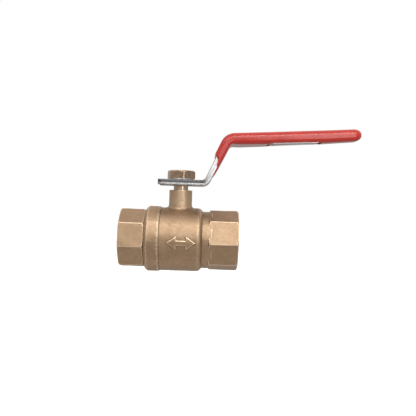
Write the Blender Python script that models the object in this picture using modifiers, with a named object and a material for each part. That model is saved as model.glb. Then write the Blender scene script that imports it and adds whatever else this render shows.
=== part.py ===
"""Quarter-turn ball valve with female pipe threads and a coated steel lever.

Units are metres. The origin is the ball's centre, +X runs along the pipe towards the
outlet, and +Z runs up the stem. The lever points along +X, so the valve is open.
"""

import math

import bmesh
import bpy
from mathutils import Matrix, Vector

MM = 0.001
GAP = 0.3 * MM                      # clearance between pieces that touch

# ---- Facets ---------------------------------------------------------------------------
BODY_STEPS = 40
NECK_STEPS = 28
SMALL_STEPS = 24

# ---- Pipe ends ------------------------------------------------------------------------
HALF_LENGTH = 41.0 * MM             # ball centre to either end face
OCTAGON_FLATS = 39.0 * MM           # spanner size
THREAD_R = 15.15 * MM               # tapping bore of a one inch parallel pipe thread
THREAD_DEPTH = 16.0 * MM
WATERWAY_R = 12.5 * MM
MOUTH_CHAMFER = 2.0 * MM
CAP_PITCH = math.radians(9.0)       # front flat of the cap, tipped up from -Y
OUTLET_PITCH = math.radians(17.5)

# ---- Barrel ---------------------------------------------------------------------------
SEAM_X = -23.6 * MM                 # where the end cap's shoulder meets the body
RIM_R = 20.5 * MM
COLLAR_R = 22.8 * MM
COLLAR_START_X = -21.5 * MM
COLLAR_END_X = -13.6 * MM
BARREL_R = 22.1 * MM
BARREL_END_X = 13.2 * MM
GROOVE_R = 19.8 * MM
GROOVE_START_X = 16.4 * MM
GROOVE_END_X = 20.6 * MM
OCTAGON_START_X = 23.4 * MM
CAVITY_R = 19.3 * MM

# ---- Ball and seats -------------------------------------------------------------------
BALL_R = 18.5 * MM
BALL_FLAT_X = 13.4 * MM
SEAT_POCKET_X = 17.5 * MM           # bottom of each seat pocket, from the ball's centre
SEAT_POCKET_R = 16.8 * MM
SEAT_INNER_R = 13.0 * MM
SEAT_FRONT_X = 11.2 * MM
SPIGOT_END_X = -12.5 * MM
SEAL_X = -21.6 * MM                 # O-ring on the end cap's spigot
SEAL_WIRE_R = 0.7 * MM

# ---- Neck and stem --------------------------------------------------------------------
NECK_R = 8.05 * MM
NECK_TOP_Z = 34.4 * MM
NECK_FILLET = 1.8 * MM
CHAMBER_R = 6.6 * MM                # packing chamber
CHAMBER_FLOOR_Z = 26.5 * MM
STEM_R = 5.05 * MM
STEM_BORE_R = 5.4 * MM
COLLAR_POCKET_R = 6.5 * MM
STEM_COLLAR_R = 6.2 * MM
STEM_COLLAR_Z = (19.7 * MM, 22.0 * MM)
THRUST_SHOULDER_Z = 23.6 * MM
STEM_THREAD_R = 4.8 * MM
STEM_SHOULDER_Z = 38.8 * MM
STEM_TOP_Z = 47.9 * MM
STEM_HALF_FLATS = 3.5 * MM
TANG_HALF = (3.0 * MM, 5.2 * MM)
TANG_BOTTOM_Z = 14.3 * MM
RING_GROOVE_Z = (24.2 * MM, 25.9 * MM)
RING_GROOVE_R = 3.75 * MM
RING_WIRE_R = 0.5 * MM
PACKING_R = (5.35 * MM, 6.3 * MM)
PACKING_HEIGHT = 1.4 * MM
FOLLOWER_HEIGHT = 0.8 * MM
GLAND_TOP_Z = 34.1 * MM

# ---- Stop rib, cast behind the neck ---------------------------------------------------
STOP_HALF_WIDTH = 2.5 * MM
STOP_Y = (7.8 * MM, 9.6 * MM)
STOP_TOP_Z = 41.0 * MM

# ---- Lever ----------------------------------------------------------------------------
SHEET = 2.5 * MM
PLATE_TOP_Z = 41.6 * MM
PLATE_END_X = -15.6 * MM
PLATE_CORNER = 3.5 * MM
RISE_ANGLE = math.radians(65.4)     # slope of the raised part
RISE_FOOT_X = 15.95 * MM            # where its top line meets the plate's top
GRIP_ANGLE = math.radians(4.2)      # slope of the grip
GRIP_CORNER_Z = 73.0 * MM           # where the two top lines meet
LOWER_BEND_R = 3.0 * MM
UPPER_BEND_R = 9.0 * MM
LEVER_TIP_X = 121.2 * MM
LEVER_TIP_CORNER = 1.8 * MM
LEVER_EDGE_R = 1.4 * MM
# half width and edge depth of the pressed channel, against X
HALF_WIDTHS = ((19.0, 13.0), (34.0, 11.2), (43.0, 10.5), (62.0, 8.5), (107.0, 5.0), (124.0, 4.6))
EDGE_DEPTHS = ((19.0, 3.8), (26.0, 4.4), (40.0, 5.0), (60.0, 5.5), (97.0, 6.4), (124.0, 6.0))
STOP_SLOT_R = (7.4 * MM, 10.3 * MM)

# ---- Grip sleeve ----------------------------------------------------------------------
SLEEVE_START_X = 24.6 * MM
SLEEVE_TIP_X = 125.5 * MM
SLEEVE_SIDE = 1.5 * MM              # from the steel to the sleeve's skin
SLEEVE_UNDER = 1.1 * MM             # the same under the edges
SLEEVE_CORNER = 2.6 * MM
SLEEVE_TIP_LENGTH = 4.0 * MM
WINDOW_X = (59.0 * MM, 97.0 * MM)   # opening under the grip

# ---- Nut and washer -------------------------------------------------------------------
NUT_FLATS = 18.0 * MM
NUT_Z = (42.7 * MM, 48.2 * MM)
NUT_SPIN = math.radians(12.7)
NUT_BORE_R = 5.1 * MM
WASHER_Z = (41.85 * MM, 42.45 * MM)
WASHER_R = (5.1 * MM, 9.2 * MM)

# ---- Raised flow arrow ----------------------------------------------------------------
ARROW_CENTRE = (2.0 * MM, -1.5 * MM)
ARROW_HALF_LENGTH = 9.5 * MM
ARROW_HEAD_LENGTH = 6.0 * MM
ARROW_HEAD_HALF = 4.2 * MM
ARROW_SHAFT_HALF = 1.5 * MM
ARROW_RELIEF = 0.45 * MM

ALONG_X = (0.0, math.pi / 2, 0.0)           # turn a shape built about Z to lie along +X
FACING_INLET = (0.0, -math.pi / 2, 0.0)     # or along -X


# ---- Scene, collections and materials -------------------------------------------------
def clear_scene():
    for obj in list(bpy.data.objects):
        bpy.data.objects.remove(obj, do_unlink=True)


def new_collection(name):
    collection = bpy.data.collections.new(name)
    bpy.context.scene.collection.children.link(collection)
    return collection


def new_material(name, colour, roughness, metallic):
    material = bpy.data.materials.new(name)
    material.use_nodes = True
    shader = material.node_tree.nodes["Principled BSDF"]
    shader.inputs["Base Color"].default_value = (*colour, 1.0)
    shader.inputs["Roughness"].default_value = roughness
    shader.inputs["Metallic"].default_value = metallic
    material.diffuse_color = (*colour, 1.0)
    return material


clear_scene()
PARTS = new_collection("water_shutoff_valve")
CUTTERS = new_collection("cutters")

CAST_BRASS = new_material("cast_brass", (0.50, 0.34, 0.19), 0.45, 0.9)
TURNED_BRASS = new_material("turned_brass", (0.60, 0.43, 0.24), 0.3, 1.0)
NUT_BRASS = new_material("nut_brass", (0.33, 0.23, 0.15), 0.4, 0.9)
CHROME = new_material("chrome", (0.72, 0.73, 0.74), 0.12, 1.0)
ZINC = new_material("zinc_plate", (0.55, 0.56, 0.57), 0.35, 1.0)
PTFE = new_material("ptfe", (0.86, 0.86, 0.83), 0.5, 0.0)
RUBBER = new_material("rubber", (0.03, 0.03, 0.03), 0.6, 0.0)
RED_PVC = new_material("red_pvc", (0.66, 0.08, 0.06), 0.35, 0.0)


# ---- Object helpers -------------------------------------------------------------------
def add_object(name, mesh, material=None, cutter=False, rotation=(0.0, 0.0, 0.0), z=0.0):
    """Link a mesh as a part, or as a hidden cutter."""
    obj = bpy.data.objects.new(name, mesh)
    obj.rotation_euler = rotation
    obj.location.z = z
    if material:
        mesh.materials.append(material)
    if cutter:
        obj.hide_render = True
        obj.display_type = "WIRE"
    (CUTTERS if cutter else PARTS).objects.link(obj)
    return obj


def turned(name, profile, steps, closed=False, **placing):
    """Turn (radius, height) points about Z, listed from the top down the outer side."""
    mesh = bpy.data.meshes.new(name)
    points = [(radius, 0.0, height) for radius, height in profile]
    edges = [(i, i + 1) for i in range(len(points) - 1)]
    if closed:
        edges.append((len(points) - 1, 0))
    mesh.from_pydata(points, edges, [])
    obj = add_object(name, mesh, **placing)
    screw = obj.modifiers.new("turn", "SCREW")
    screw.axis = "Z"
    screw.angle = math.tau
    screw.steps = steps
    screw.render_steps = steps
    screw.use_merge_vertices = True
    screw.merge_threshold = 0.00001
    screw.use_smooth_shade = False
    return obj


def ring(name, radii, height, steps=SMALL_STEPS, **placing):
    """A flat ring that stands on its own base plane."""
    inner, outer = radii
    profile = ((inner, height), (outer, height), (outer, 0.0), (inner, 0.0))
    return turned(name, profile, steps, closed=True, **placing)


def prism(name, sides, flats, low, high, spin=0.0, **placing):
    """A regular prism about Z between two heights."""
    bm = bmesh.new()
    radius = flats / 2 / math.cos(math.pi / sides)
    bmesh.ops.create_cone(bm, cap_ends=True, segments=sides, radius1=radius, radius2=radius,
                          depth=high - low)
    middle = Matrix.Translation((0.0, 0.0, (low + high) / 2))
    bm.transform(middle @ Matrix.Rotation(spin, 4, "Z"))
    mesh = bpy.data.meshes.new(name)
    bm.to_mesh(mesh)
    bm.free()
    return add_object(name, mesh, **placing)


def box(name, low, high, **placing):
    """An upright box between two corners."""
    bm = bmesh.new()
    bmesh.ops.create_cube(bm, size=1.0)
    size = Vector(high) - Vector(low)
    centre = (Vector(high) + Vector(low)) / 2
    bm.transform(Matrix.Translation(centre) @ Matrix.Diagonal((*size, 1.0)))
    mesh = bpy.data.meshes.new(name)
    bm.to_mesh(mesh)
    bm.free()
    return add_object(name, mesh, **placing)


def outline_solid(name, points, thickness):
    """A hidden cutter: a flat XY outline, extruded evenly about Z = 0."""
    curve = bpy.data.curves.new(name, "CURVE")
    curve.dimensions = "2D"
    curve.fill_mode = "BOTH"
    curve.extrude = thickness / 2
    spline = curve.splines.new("POLY")
    spline.points.add(len(points) - 1)
    for point, (x, y) in zip(spline.points, points):
        point.co = (x, y, 0.0, 1.0)
    spline.use_cyclic_u = True
    source = bpy.data.objects.new(name + "_outline", curve)
    CUTTERS.objects.link(source)
    bpy.context.view_layer.update()
    depsgraph = bpy.context.evaluated_depsgraph_get()
    mesh = bpy.data.meshes.new_from_object(source.evaluated_get(depsgraph))
    bm = bmesh.new()
    bm.from_mesh(mesh)
    bmesh.ops.remove_doubles(bm, verts=bm.verts, dist=0.00001)
    bmesh.ops.recalc_face_normals(bm, faces=bm.faces)
    bm.to_mesh(mesh)
    bm.free()
    bpy.data.objects.remove(source, do_unlink=True)
    return add_object(name, mesh, cutter=True)


def combine(obj, other, operation):
    """Add an exact Boolean of another object to an object."""
    modifier = obj.modifiers.new(operation.lower() + "_" + other.name, "BOOLEAN")
    modifier.operation = operation
    modifier.solver = "EXACT"
    modifier.object = other


def smooth(obj, angle=32.0):
    obj.data.shade_smooth()
    obj.data.set_sharp_from_angle(angle=math.radians(angle))


def pivot(name):
    """An empty at the ball's centre, on the stem's axis."""
    empty = bpy.data.objects.new(name, None)
    empty.empty_display_size = 0.01
    PARTS.objects.link(empty)
    return empty


# ---- Shapes shared by the two threaded ends -------------------------------------------
def octagon_end(name, low, pitch, rotation):
    """Octagon from low to the end face along its axis, eased by cones at both ends."""
    high = HALF_LENGTH
    spin = math.radians(22.5) - pitch
    octagon = prism(name, 8, OCTAGON_FLATS, low, high, spin, rotation=rotation, cutter=True)
    full_r = OCTAGON_FLATS / 2 / math.cos(math.pi / 8) + 0.4 * MM
    easing = 1.4 * MM
    face_r = full_r - easing
    profile = [(0.0, high), (face_r, high), (full_r, high - easing), (full_r, low + easing),
               (face_r, low), (0.0, low)]
    envelope = turned(name + "_easing", profile, BODY_STEPS, rotation=rotation, cutter=True)
    combine(octagon, envelope, "INTERSECT")
    return octagon


def end_bore(inner_x):
    """Bore profile from an end's mouth down to the open side of its seat pocket."""
    root_x = HALF_LENGTH - THREAD_DEPTH
    beyond = 1.0 * MM
    outside_x = HALF_LENGTH + beyond
    return [(0.0, outside_x), (THREAD_R + MOUTH_CHAMFER + beyond, outside_x),
            (THREAD_R, HALF_LENGTH - MOUTH_CHAMFER), (THREAD_R, root_x),
            (WATERWAY_R, root_x - 1.0 * MM), (WATERWAY_R, SEAT_POCKET_X),
            (SEAT_POCKET_R, SEAT_POCKET_X), (SEAT_POCKET_R, inner_x)]


# ---- Valve body -----------------------------------------------------------------------
def build_body():
    shoulder = 0.8 * MM
    barrel = [(0.0, OCTAGON_START_X), (GROOVE_R, OCTAGON_START_X), (GROOVE_R, GROOVE_START_X),
              (BARREL_R - 1.1 * MM, BARREL_END_X + 2.2 * MM),
              (BARREL_R - 0.35 * MM, BARREL_END_X + 1.2 * MM), (BARREL_R, BARREL_END_X),
              (BARREL_R, COLLAR_END_X + shoulder), (COLLAR_R, COLLAR_END_X),
              (COLLAR_R, COLLAR_START_X), (RIM_R, SEAM_X + GAP), (0.0, SEAM_X + GAP)]
    body = turned("valve_body", barrel, BODY_STEPS, material=CAST_BRASS, rotation=ALONG_X)
    outlet = octagon_end("outlet_octagon", GROOVE_END_X, OUTLET_PITCH, ALONG_X)
    combine(body, outlet, "UNION")
    combine(body, build_neck_shape(), "UNION")
    combine(body, build_stop_shape(), "UNION")
    combine(body, build_arrow_shape(), "UNION")
    combine(body, build_main_bore(), "DIFFERENCE")
    combine(body, build_neck_bore(), "DIFFERENCE")
    smooth(body)


def build_neck_shape():
    """The neck, flared where it leaves the barrel."""
    arc_points = 3
    foot_z = BARREL_R + 0.3 * MM
    flare = []
    for i in range(arc_points + 1):
        angle = math.pi / 2 * i / arc_points
        flare.append((NECK_R + NECK_FILLET * (1.0 - math.cos(angle)),
                      foot_z + NECK_FILLET * (1.0 - math.sin(angle))))
    edge = 0.3 * MM
    root_z = 17.0 * MM
    profile = [(0.0, NECK_TOP_Z), (NECK_R - edge, NECK_TOP_Z), (NECK_R, NECK_TOP_Z - edge),
               *flare, (flare[-1][0], root_z), (0.0, root_z)]
    return turned("neck_shape", profile, NECK_STEPS, cutter=True)


def build_stop_shape():
    """A rib behind the neck. Its narrow tip reaches into the lever's slot."""
    inner, outer = STOP_Y
    root_z = 17.5 * MM
    wide = 13.0 * MM
    outline = [(inner - 1.2 * MM, root_z), (wide, root_z), (outer + 0.6 * MM, NECK_TOP_Z),
               (outer, NECK_TOP_Z + 2.0 * MM), (outer, STOP_TOP_Z), (inner, STOP_TOP_Z),
               (inner, NECK_TOP_Z - 1.0 * MM), (inner - 1.2 * MM, NECK_TOP_Z - 1.0 * MM)]
    stop = outline_solid("stop_shape", outline, 2 * STOP_HALF_WIDTH)
    stop.rotation_euler = (math.pi / 2, 0.0, math.pi / 2)
    return stop


def build_arrow_shape():
    """A low double-headed arrow that follows the barrel."""
    x, z = ARROW_CENTRE
    neck_x = ARROW_HALF_LENGTH - ARROW_HEAD_LENGTH
    quarter = [(neck_x, ARROW_SHAFT_HALF), (neck_x, ARROW_HEAD_HALF), (ARROW_HALF_LENGTH, 0.0),
               (neck_x, -ARROW_HEAD_HALF), (neck_x, -ARROW_SHAFT_HALF)]
    outline = quarter + [(-px, -pz) for px, pz in quarter]
    arrow = outline_solid("arrow_shape", outline, 2.6 * MM)
    arrow.rotation_euler = (math.pi / 2, 0.0, 0.0)
    arrow.location = (x, -21.9 * MM, z)
    face_r = BARREL_R + ARROW_RELIEF
    end_x = 13.0 * MM
    profile = [(0.0, end_x), (face_r, end_x), (face_r, -end_x), (0.0, -end_x)]
    face = turned("arrow_face", profile, BODY_STEPS, rotation=ALONG_X, cutter=True)
    combine(arrow, face, "INTERSECT")
    return arrow


def build_main_bore():
    """Outlet thread, waterway, seat pocket, ball cavity and the bore for the cap's spigot."""
    open_x = SEAM_X - 1.0 * MM
    pocket_edge_x = 10.6 * MM
    cone = CAVITY_R - SEAT_POCKET_R
    profile = end_bore(pocket_edge_x)
    profile += [(CAVITY_R, pocket_edge_x - cone), (CAVITY_R, open_x), (0.0, open_x)]
    return turned("main_bore", profile, BODY_STEPS, rotation=ALONG_X, cutter=True)


def build_neck_bore():
    """Packing chamber, stem bore and the pocket for the stem's collar."""
    above = NECK_TOP_Z + 1.0 * MM
    below = 15.0 * MM
    profile = [(0.0, above), (CHAMBER_R, above), (CHAMBER_R, CHAMBER_FLOOR_Z),
               (STEM_BORE_R, CHAMBER_FLOOR_Z), (STEM_BORE_R, THRUST_SHOULDER_Z),
               (COLLAR_POCKET_R, THRUST_SHOULDER_Z), (COLLAR_POCKET_R, below), (0.0, below)]
    return turned("neck_bore", profile, SMALL_STEPS, cutter=True)


# ---- End cap --------------------------------------------------------------------------
def build_end_cap():
    """The cap's shapes are built about Z and turned to face -X."""
    spigot_r = CAVITY_R - GAP
    seal_half = SEAL_WIRE_R + GAP
    groove_r = CAVITY_R - 2 * GAP - 2 * SEAL_WIRE_R
    inside_x = 26.0 * MM
    edge = 0.5 * MM
    profile = [(0.0, inside_x), (spigot_r, inside_x), (spigot_r, -SEAL_X + seal_half),
               (groove_r, -SEAL_X + seal_half), (groove_r, -SEAL_X - seal_half),
               (spigot_r, -SEAL_X - seal_half), (spigot_r, -SPIGOT_END_X + edge),
               (spigot_r - edge, -SPIGOT_END_X), (0.0, -SPIGOT_END_X)]
    cap = turned("end_cap", profile, BODY_STEPS, material=CAST_BRASS, rotation=FACING_INLET)
    combine(cap, octagon_end("cap_octagon", -SEAM_X, -CAP_PITCH, FACING_INLET), "UNION")
    inner_x = -SPIGOT_END_X - 1.0 * MM
    bore_profile = end_bore(inner_x) + [(0.0, inner_x)]
    bore = turned("cap_bore", bore_profile, BODY_STEPS, rotation=FACING_INLET, cutter=True)
    combine(cap, bore, "DIFFERENCE")
    smooth(cap)


# ---- Ball, seats and seals ------------------------------------------------------------
def build_ball(parent):
    bpy.ops.mesh.primitive_uv_sphere_add(segments=32, ring_count=18, radius=BALL_R)
    ball = bpy.context.object
    ball.name = "ball"
    ball.data.materials.append(CHROME)
    for collection in list(ball.users_collection):
        collection.objects.unlink(ball)
    PARTS.objects.link(ball)
    far = 20.0 * MM
    faces = box("ball_faces", (-BALL_FLAT_X, -far, -far), (BALL_FLAT_X, far, far), cutter=True)
    profile = [(0.0, far), (WATERWAY_R, far), (WATERWAY_R, -far), (0.0, -far)]
    bore = turned("ball_bore", profile, BODY_STEPS, rotation=ALONG_X, cutter=True)
    slot_half = TANG_HALF[0] + GAP
    slot_floor = TANG_BOTTOM_Z - GAP
    slot = box("ball_slot", (-slot_half, -far, slot_floor), (slot_half, far, far), cutter=True)
    combine(ball, faces, "INTERSECT")
    combine(ball, bore, "DIFFERENCE")
    combine(ball, slot, "DIFFERENCE")
    smooth(ball)
    ball.parent = parent


def build_seat(name, side):
    """A seat ring: its front is hollowed to the ball, its back sits in the pocket."""
    contact_r = BALL_R + GAP
    outer_r = SEAT_POCKET_R - GAP
    back_x = SEAT_POCKET_X - GAP
    contact = []
    arc_points = 3
    first = math.acos(SEAT_FRONT_X / contact_r)
    last = math.asin(SEAT_INNER_R / contact_r)
    for i in range(arc_points + 1):
        angle = first + (last - first) * i / arc_points
        contact.append((contact_r * math.sin(angle), contact_r * math.cos(angle)))
    profile = [(SEAT_INNER_R, back_x), (outer_r, back_x), (outer_r, SEAT_FRONT_X), *contact]
    rotation = (0.0, side * math.pi / 2, 0.0)
    seat = turned(name, profile, 32, closed=True, material=PTFE, rotation=rotation)
    smooth(seat)


def build_o_ring(name, centre_r, wire_r, location, rotation=(0.0, 0.0, 0.0)):
    bpy.ops.mesh.primitive_torus_add(major_radius=centre_r, minor_radius=wire_r,
                                     major_segments=32, minor_segments=8,
                                     location=location, rotation=rotation)
    o_ring = bpy.context.object
    o_ring.name = name
    o_ring.data.materials.append(RUBBER)
    o_ring.data.shade_smooth()
    for collection in list(o_ring.users_collection):
        collection.objects.unlink(o_ring)
    PARTS.objects.link(o_ring)
    return o_ring


# ---- Stem, packing and gland ----------------------------------------------------------
def build_stem(parent):
    groove_low, groove_high = RING_GROOVE_Z
    collar_low, collar_high = STEM_COLLAR_Z
    edge = 0.5 * MM
    profile = [(0.0, STEM_TOP_Z), (STEM_THREAD_R - edge, STEM_TOP_Z),
               (STEM_THREAD_R, STEM_TOP_Z - edge), (STEM_THREAD_R, STEM_SHOULDER_Z),
               (STEM_R, STEM_SHOULDER_Z), (STEM_R, groove_high), (RING_GROOVE_R, groove_high),
               (RING_GROOVE_R, groove_low), (STEM_R, groove_low), (STEM_R, collar_high),
               (STEM_COLLAR_R, collar_high), (STEM_COLLAR_R, collar_low), (0.0, collar_low)]
    stem = turned("stem", profile, SMALL_STEPS, material=TURNED_BRASS)
    tang_x, tang_y = TANG_HALF
    tang = box("tang_shape", (-tang_x, -tang_y, TANG_BOTTOM_Z),
               (tang_x, tang_y, collar_low + 1.0 * MM), cutter=True)
    combine(stem, tang, "UNION")
    far = 8.0 * MM
    for name, low_x, high_x in (("left", -far, -STEM_HALF_FLATS), ("right", STEM_HALF_FLATS, far)):
        flat = box("stem_flat_" + name, (low_x, -far, STEM_SHOULDER_Z),
                   (high_x, far, STEM_TOP_Z + 1.0 * MM), cutter=True)
        combine(stem, flat, "DIFFERENCE")
    smooth(stem)
    stem.parent = parent


def build_gland():
    """Thrust washer, packing rings, follower and ring nut, from the bottom up."""
    thrust_z = STEM_COLLAR_Z[1] + GAP
    thrust_height = THRUST_SHOULDER_Z - GAP - thrust_z
    ring("stem_thrust_washer", (STEM_BORE_R, STEM_COLLAR_R), thrust_height,
         material=PTFE, z=thrust_z)
    z = CHAMBER_FLOOR_Z + GAP
    stack = (("stem_packing_lower", PACKING_HEIGHT, PTFE),
             ("stem_packing_upper", PACKING_HEIGHT, PTFE),
             ("gland_follower", FOLLOWER_HEIGHT, TURNED_BRASS))
    for name, height, material in stack:
        ring(name, PACKING_R, height, material=material, z=z)
        z += height + GAP
    nut = ring("gland_nut", PACKING_R, GLAND_TOP_Z - z, material=TURNED_BRASS, z=z)
    slot_half = 0.7 * MM
    slot_floor = GLAND_TOP_Z - 1.0 * MM
    far = 10.0 * MM
    slot = box("gland_key_slots", (-far, -slot_half, slot_floor),
               (far, slot_half, NECK_TOP_Z), cutter=True)
    combine(nut, slot, "DIFFERENCE")


# ---- Lever path and sections ----------------------------------------------------------
def interpolate(table, x):
    """Value at x from (x, value) pairs in millimetres, held level beyond its ends."""
    x_mm = x / MM
    if x_mm <= table[0][0]:
        return table[0][1] * MM
    for (x0, v0), (x1, v1) in zip(table, table[1:]):
        if x_mm <= x1:
            return (v0 + (v1 - v0) * (x_mm - x0) / (x1 - x0)) * MM
    return table[-1][1] * MM


def line_stations(start, end, spacing):
    """(x, z, angle) stations along a straight stretch, both ends included."""
    length = math.dist(start, end)
    angle = math.atan2(end[1] - start[1], end[0] - start[0])
    count = max(1, round(length / spacing))
    return [(start[0] + (end[0] - start[0]) * i / count,
             start[1] + (end[1] - start[1]) * i / count, angle) for i in range(count + 1)]


def bend_stations(corner, angle_in, angle_out, radius, steps):
    """Stations round a bend that is tangent to the two lines meeting at a corner."""
    turn = angle_out - angle_in
    side = math.copysign(1.0, turn)
    setback = radius * math.tan(abs(turn) / 2)
    start = (corner[0] - setback * math.cos(angle_in), corner[1] - setback * math.sin(angle_in))
    centre = (start[0] - side * radius * math.sin(angle_in),
              start[1] + side * radius * math.cos(angle_in))
    stations = []
    for i in range(steps + 1):
        angle = angle_in + turn * i / steps
        stations.append((centre[0] + side * radius * math.sin(angle),
                         centre[1] - side * radius * math.cos(angle), angle))
    return stations


def lever_stations(start_x, tip_x):
    """The lever's top line: plate, lower bend, rise, upper bend and grip."""
    foot = (RISE_FOOT_X, PLATE_TOP_Z)
    rise = GRIP_CORNER_Z - PLATE_TOP_Z
    corner = (RISE_FOOT_X + rise / math.tan(RISE_ANGLE), GRIP_CORNER_Z)
    lower = bend_stations(foot, 0.0, RISE_ANGLE, LOWER_BEND_R, 6)
    upper = bend_stations(corner, RISE_ANGLE, GRIP_ANGLE, UPPER_BEND_R, 7)
    tip = (tip_x, corner[1] + (tip_x - corner[0]) * math.tan(GRIP_ANGLE))
    plate = line_stations((start_x, PLATE_TOP_Z), lower[0][:2], 12.0 * MM)
    riser = line_stations(lower[-1][:2], upper[0][:2], 8.0 * MM)
    grip = line_stations(upper[-1][:2], tip, 11.0 * MM)
    return plate + lower[1:] + riser[1:] + upper[1:] + grip[1:]


def placed_section(station, outline):
    """Put an outline of (across, up) points square to the path at a station."""
    x, z, angle = station
    return [Vector((x - up * math.sin(angle), across, z + up * math.cos(angle)))
            for across, up in outline]


def channel_outline(half_width, depth):
    """The pressed sheet's cross-section: a web with its edges turned down."""
    edge_r = LEVER_EDGE_R
    soft = 0.3 * edge_r
    inside = half_width - SHEET
    right = [(half_width - edge_r, 0.0), (half_width - soft, -soft), (half_width, -edge_r),
             (half_width, -depth), (inside, -depth), (inside, -SHEET)]
    return right + [(-across, up) for across, up in reversed(right)]


def rounded_outline(half_width, top, bottom, corner):
    """A rectangle with rounded corners, top and bottom measured from the path."""
    points = []
    centres = ((half_width - corner, top - corner, 90.0),
               (half_width - corner, bottom + corner, 0.0),
               (-half_width + corner, bottom + corner, -90.0),
               (-half_width + corner, top - corner, -180.0))
    for across, up, start in centres:
        for step in (0.0, 45.0, 90.0):
            angle = math.radians(start - step)
            points.append((across + corner * math.cos(angle), up + corner * math.sin(angle)))
    return points


def loft(name, sections, **placing):
    """Skin sections that all have the same number of points, and cap both ends."""
    bm = bmesh.new()
    rings = [[bm.verts.new(point) for point in section] for section in sections]
    count = len(rings[0])
    for ring_a, ring_b in zip(rings, rings[1:]):
        for i in range(count):
            j = (i + 1) % count
            bm.faces.new((ring_a[i], ring_a[j], ring_b[j], ring_b[i]))
    bm.faces.new(list(reversed(rings[0])))
    bm.faces.new(rings[-1])
    bmesh.ops.recalc_face_normals(bm, faces=bm.faces)
    mesh = bpy.data.meshes.new(name)
    bm.to_mesh(mesh)
    bm.free()
    return add_object(name, mesh, **placing)


# ---- Lever ----------------------------------------------------------------------------
def corner_stations(station, corner, direction, steps=3):
    """Stations across an end's rounded corners, with how far the outline is cut in."""
    x, z, angle = station
    stations = []
    for i in range(steps + 1):
        turn = math.pi / 2 * i / steps
        run = direction * corner * (1.0 - math.cos(turn))
        cut = corner * (1.0 - math.sin(turn))
        stations.append(((x + run * math.cos(angle), z + run * math.sin(angle), angle), cut))
    return stations


def build_lever(parent):
    stations = lever_stations(PLATE_END_X, LEVER_TIP_X)
    narrowed = corner_stations(stations[0], PLATE_CORNER, 1.0)
    narrowed += [(station, 0.0) for station in stations[1:-1]]
    narrowed += reversed(corner_stations(stations[-1], LEVER_TIP_CORNER, -1.0))
    sections = []
    for station, cut in narrowed:
        half_width = interpolate(HALF_WIDTHS, station[0]) - cut
        depth = interpolate(EDGE_DEPTHS, station[0])
        sections.append(placed_section(station, channel_outline(half_width, depth)))
    lever = loft("lever", sections, material=ZINC)
    combine(lever, build_stem_hole(), "DIFFERENCE")
    combine(lever, build_stop_slot(), "DIFFERENCE")
    smooth(lever, 40.0)
    lever.parent = parent


def build_stem_hole():
    """A round hole with two flats, which turns the stem."""
    low, high = 36.0 * MM, 44.0 * MM
    hole_r = STEM_THREAD_R + GAP
    profile = [(0.0, high), (hole_r, high), (hole_r, low), (0.0, low)]
    hole = turned("stem_hole", profile, SMALL_STEPS, cutter=True)
    half_flats = STEM_HALF_FLATS + GAP
    far = 8.0 * MM
    flats = box("stem_hole_flats", (-half_flats, -far, low - 1.0 * MM),
                (half_flats, far, high + 1.0 * MM), cutter=True)
    combine(hole, flats, "INTERSECT")
    return hole


def build_stop_slot():
    """A quarter-round slot: the stop rib meets one end of it open, the other closed."""
    inner, outer = STOP_SLOT_R
    low, high = 36.0 * MM, 44.0 * MM
    profile = ((inner, high), (outer, high), (outer, low), (inner, low))
    slot = turned("stop_slot", profile, NECK_STEPS, closed=True, cutter=True)
    edge = STOP_HALF_WIDTH + GAP
    far = 20.0 * MM
    quarter = box("stop_slot_quarter", (-far, -edge, low - 1.0 * MM),
                  (edge, far, high + 1.0 * MM), cutter=True)
    combine(slot, quarter, "INTERSECT")
    return slot


# ---- Grip sleeve ----------------------------------------------------------------------
def sleeve_sections(side, under, corner, tip_x, tip_length):
    """Sections round the steel, drawn in to a rounded tip."""
    stations = [s for s in lever_stations(PLATE_END_X, tip_x - tip_length)
                if s[1] > PLATE_TOP_Z + 5.5 * MM]
    x, z, angle = stations[-1]
    shrink = [1.0] * len(stations)
    for i in range(1, 5):
        turn = math.radians(17.5) * i
        run = tip_length * math.sin(turn) / math.sin(math.radians(70.0))
        stations.append((x + run, z + run * math.tan(angle), angle))
        shrink.append(math.cos(turn))
    sections = []
    for station, factor in zip(stations, shrink):
        half_width = interpolate(HALF_WIDTHS, station[0]) + side
        top = side
        bottom = -interpolate(EDGE_DEPTHS, station[0]) - under
        middle = (top + bottom) / 2
        half_height = (top - bottom) / 2 * factor
        outline = rounded_outline(half_width * factor, middle + half_height,
                                  middle - half_height, corner * factor)
        sections.append(placed_section(station, outline))
    return sections


def build_sleeve(parent):
    outside = sleeve_sections(SLEEVE_SIDE, SLEEVE_UNDER, SLEEVE_CORNER, SLEEVE_TIP_X,
                              SLEEVE_TIP_LENGTH)
    sleeve = loft("grip_sleeve", outside, material=RED_PVC)
    stations = [s for s in lever_stations(PLATE_END_X, LEVER_TIP_X + GAP)
                if s[1] > PLATE_TOP_Z + 4.0 * MM]
    inside = []
    for station in stations:
        half_width = interpolate(HALF_WIDTHS, station[0]) + GAP
        bottom = -interpolate(EDGE_DEPTHS, station[0]) - GAP
        inside.append(placed_section(station, rounded_outline(half_width, GAP, bottom,
                                                              0.9 * MM)))
    combine(sleeve, loft("sleeve_hollow", inside, cutter=True), "DIFFERENCE")
    far = 30.0 * MM
    start = box("sleeve_start", (0.0, -far, 30.0 * MM), (SLEEVE_START_X, far, 90.0 * MM),
                cutter=True)
    combine(sleeve, start, "DIFFERENCE")
    combine(sleeve, build_window(), "DIFFERENCE")
    smooth(sleeve, 50.0)
    sleeve.parent = parent


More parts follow.
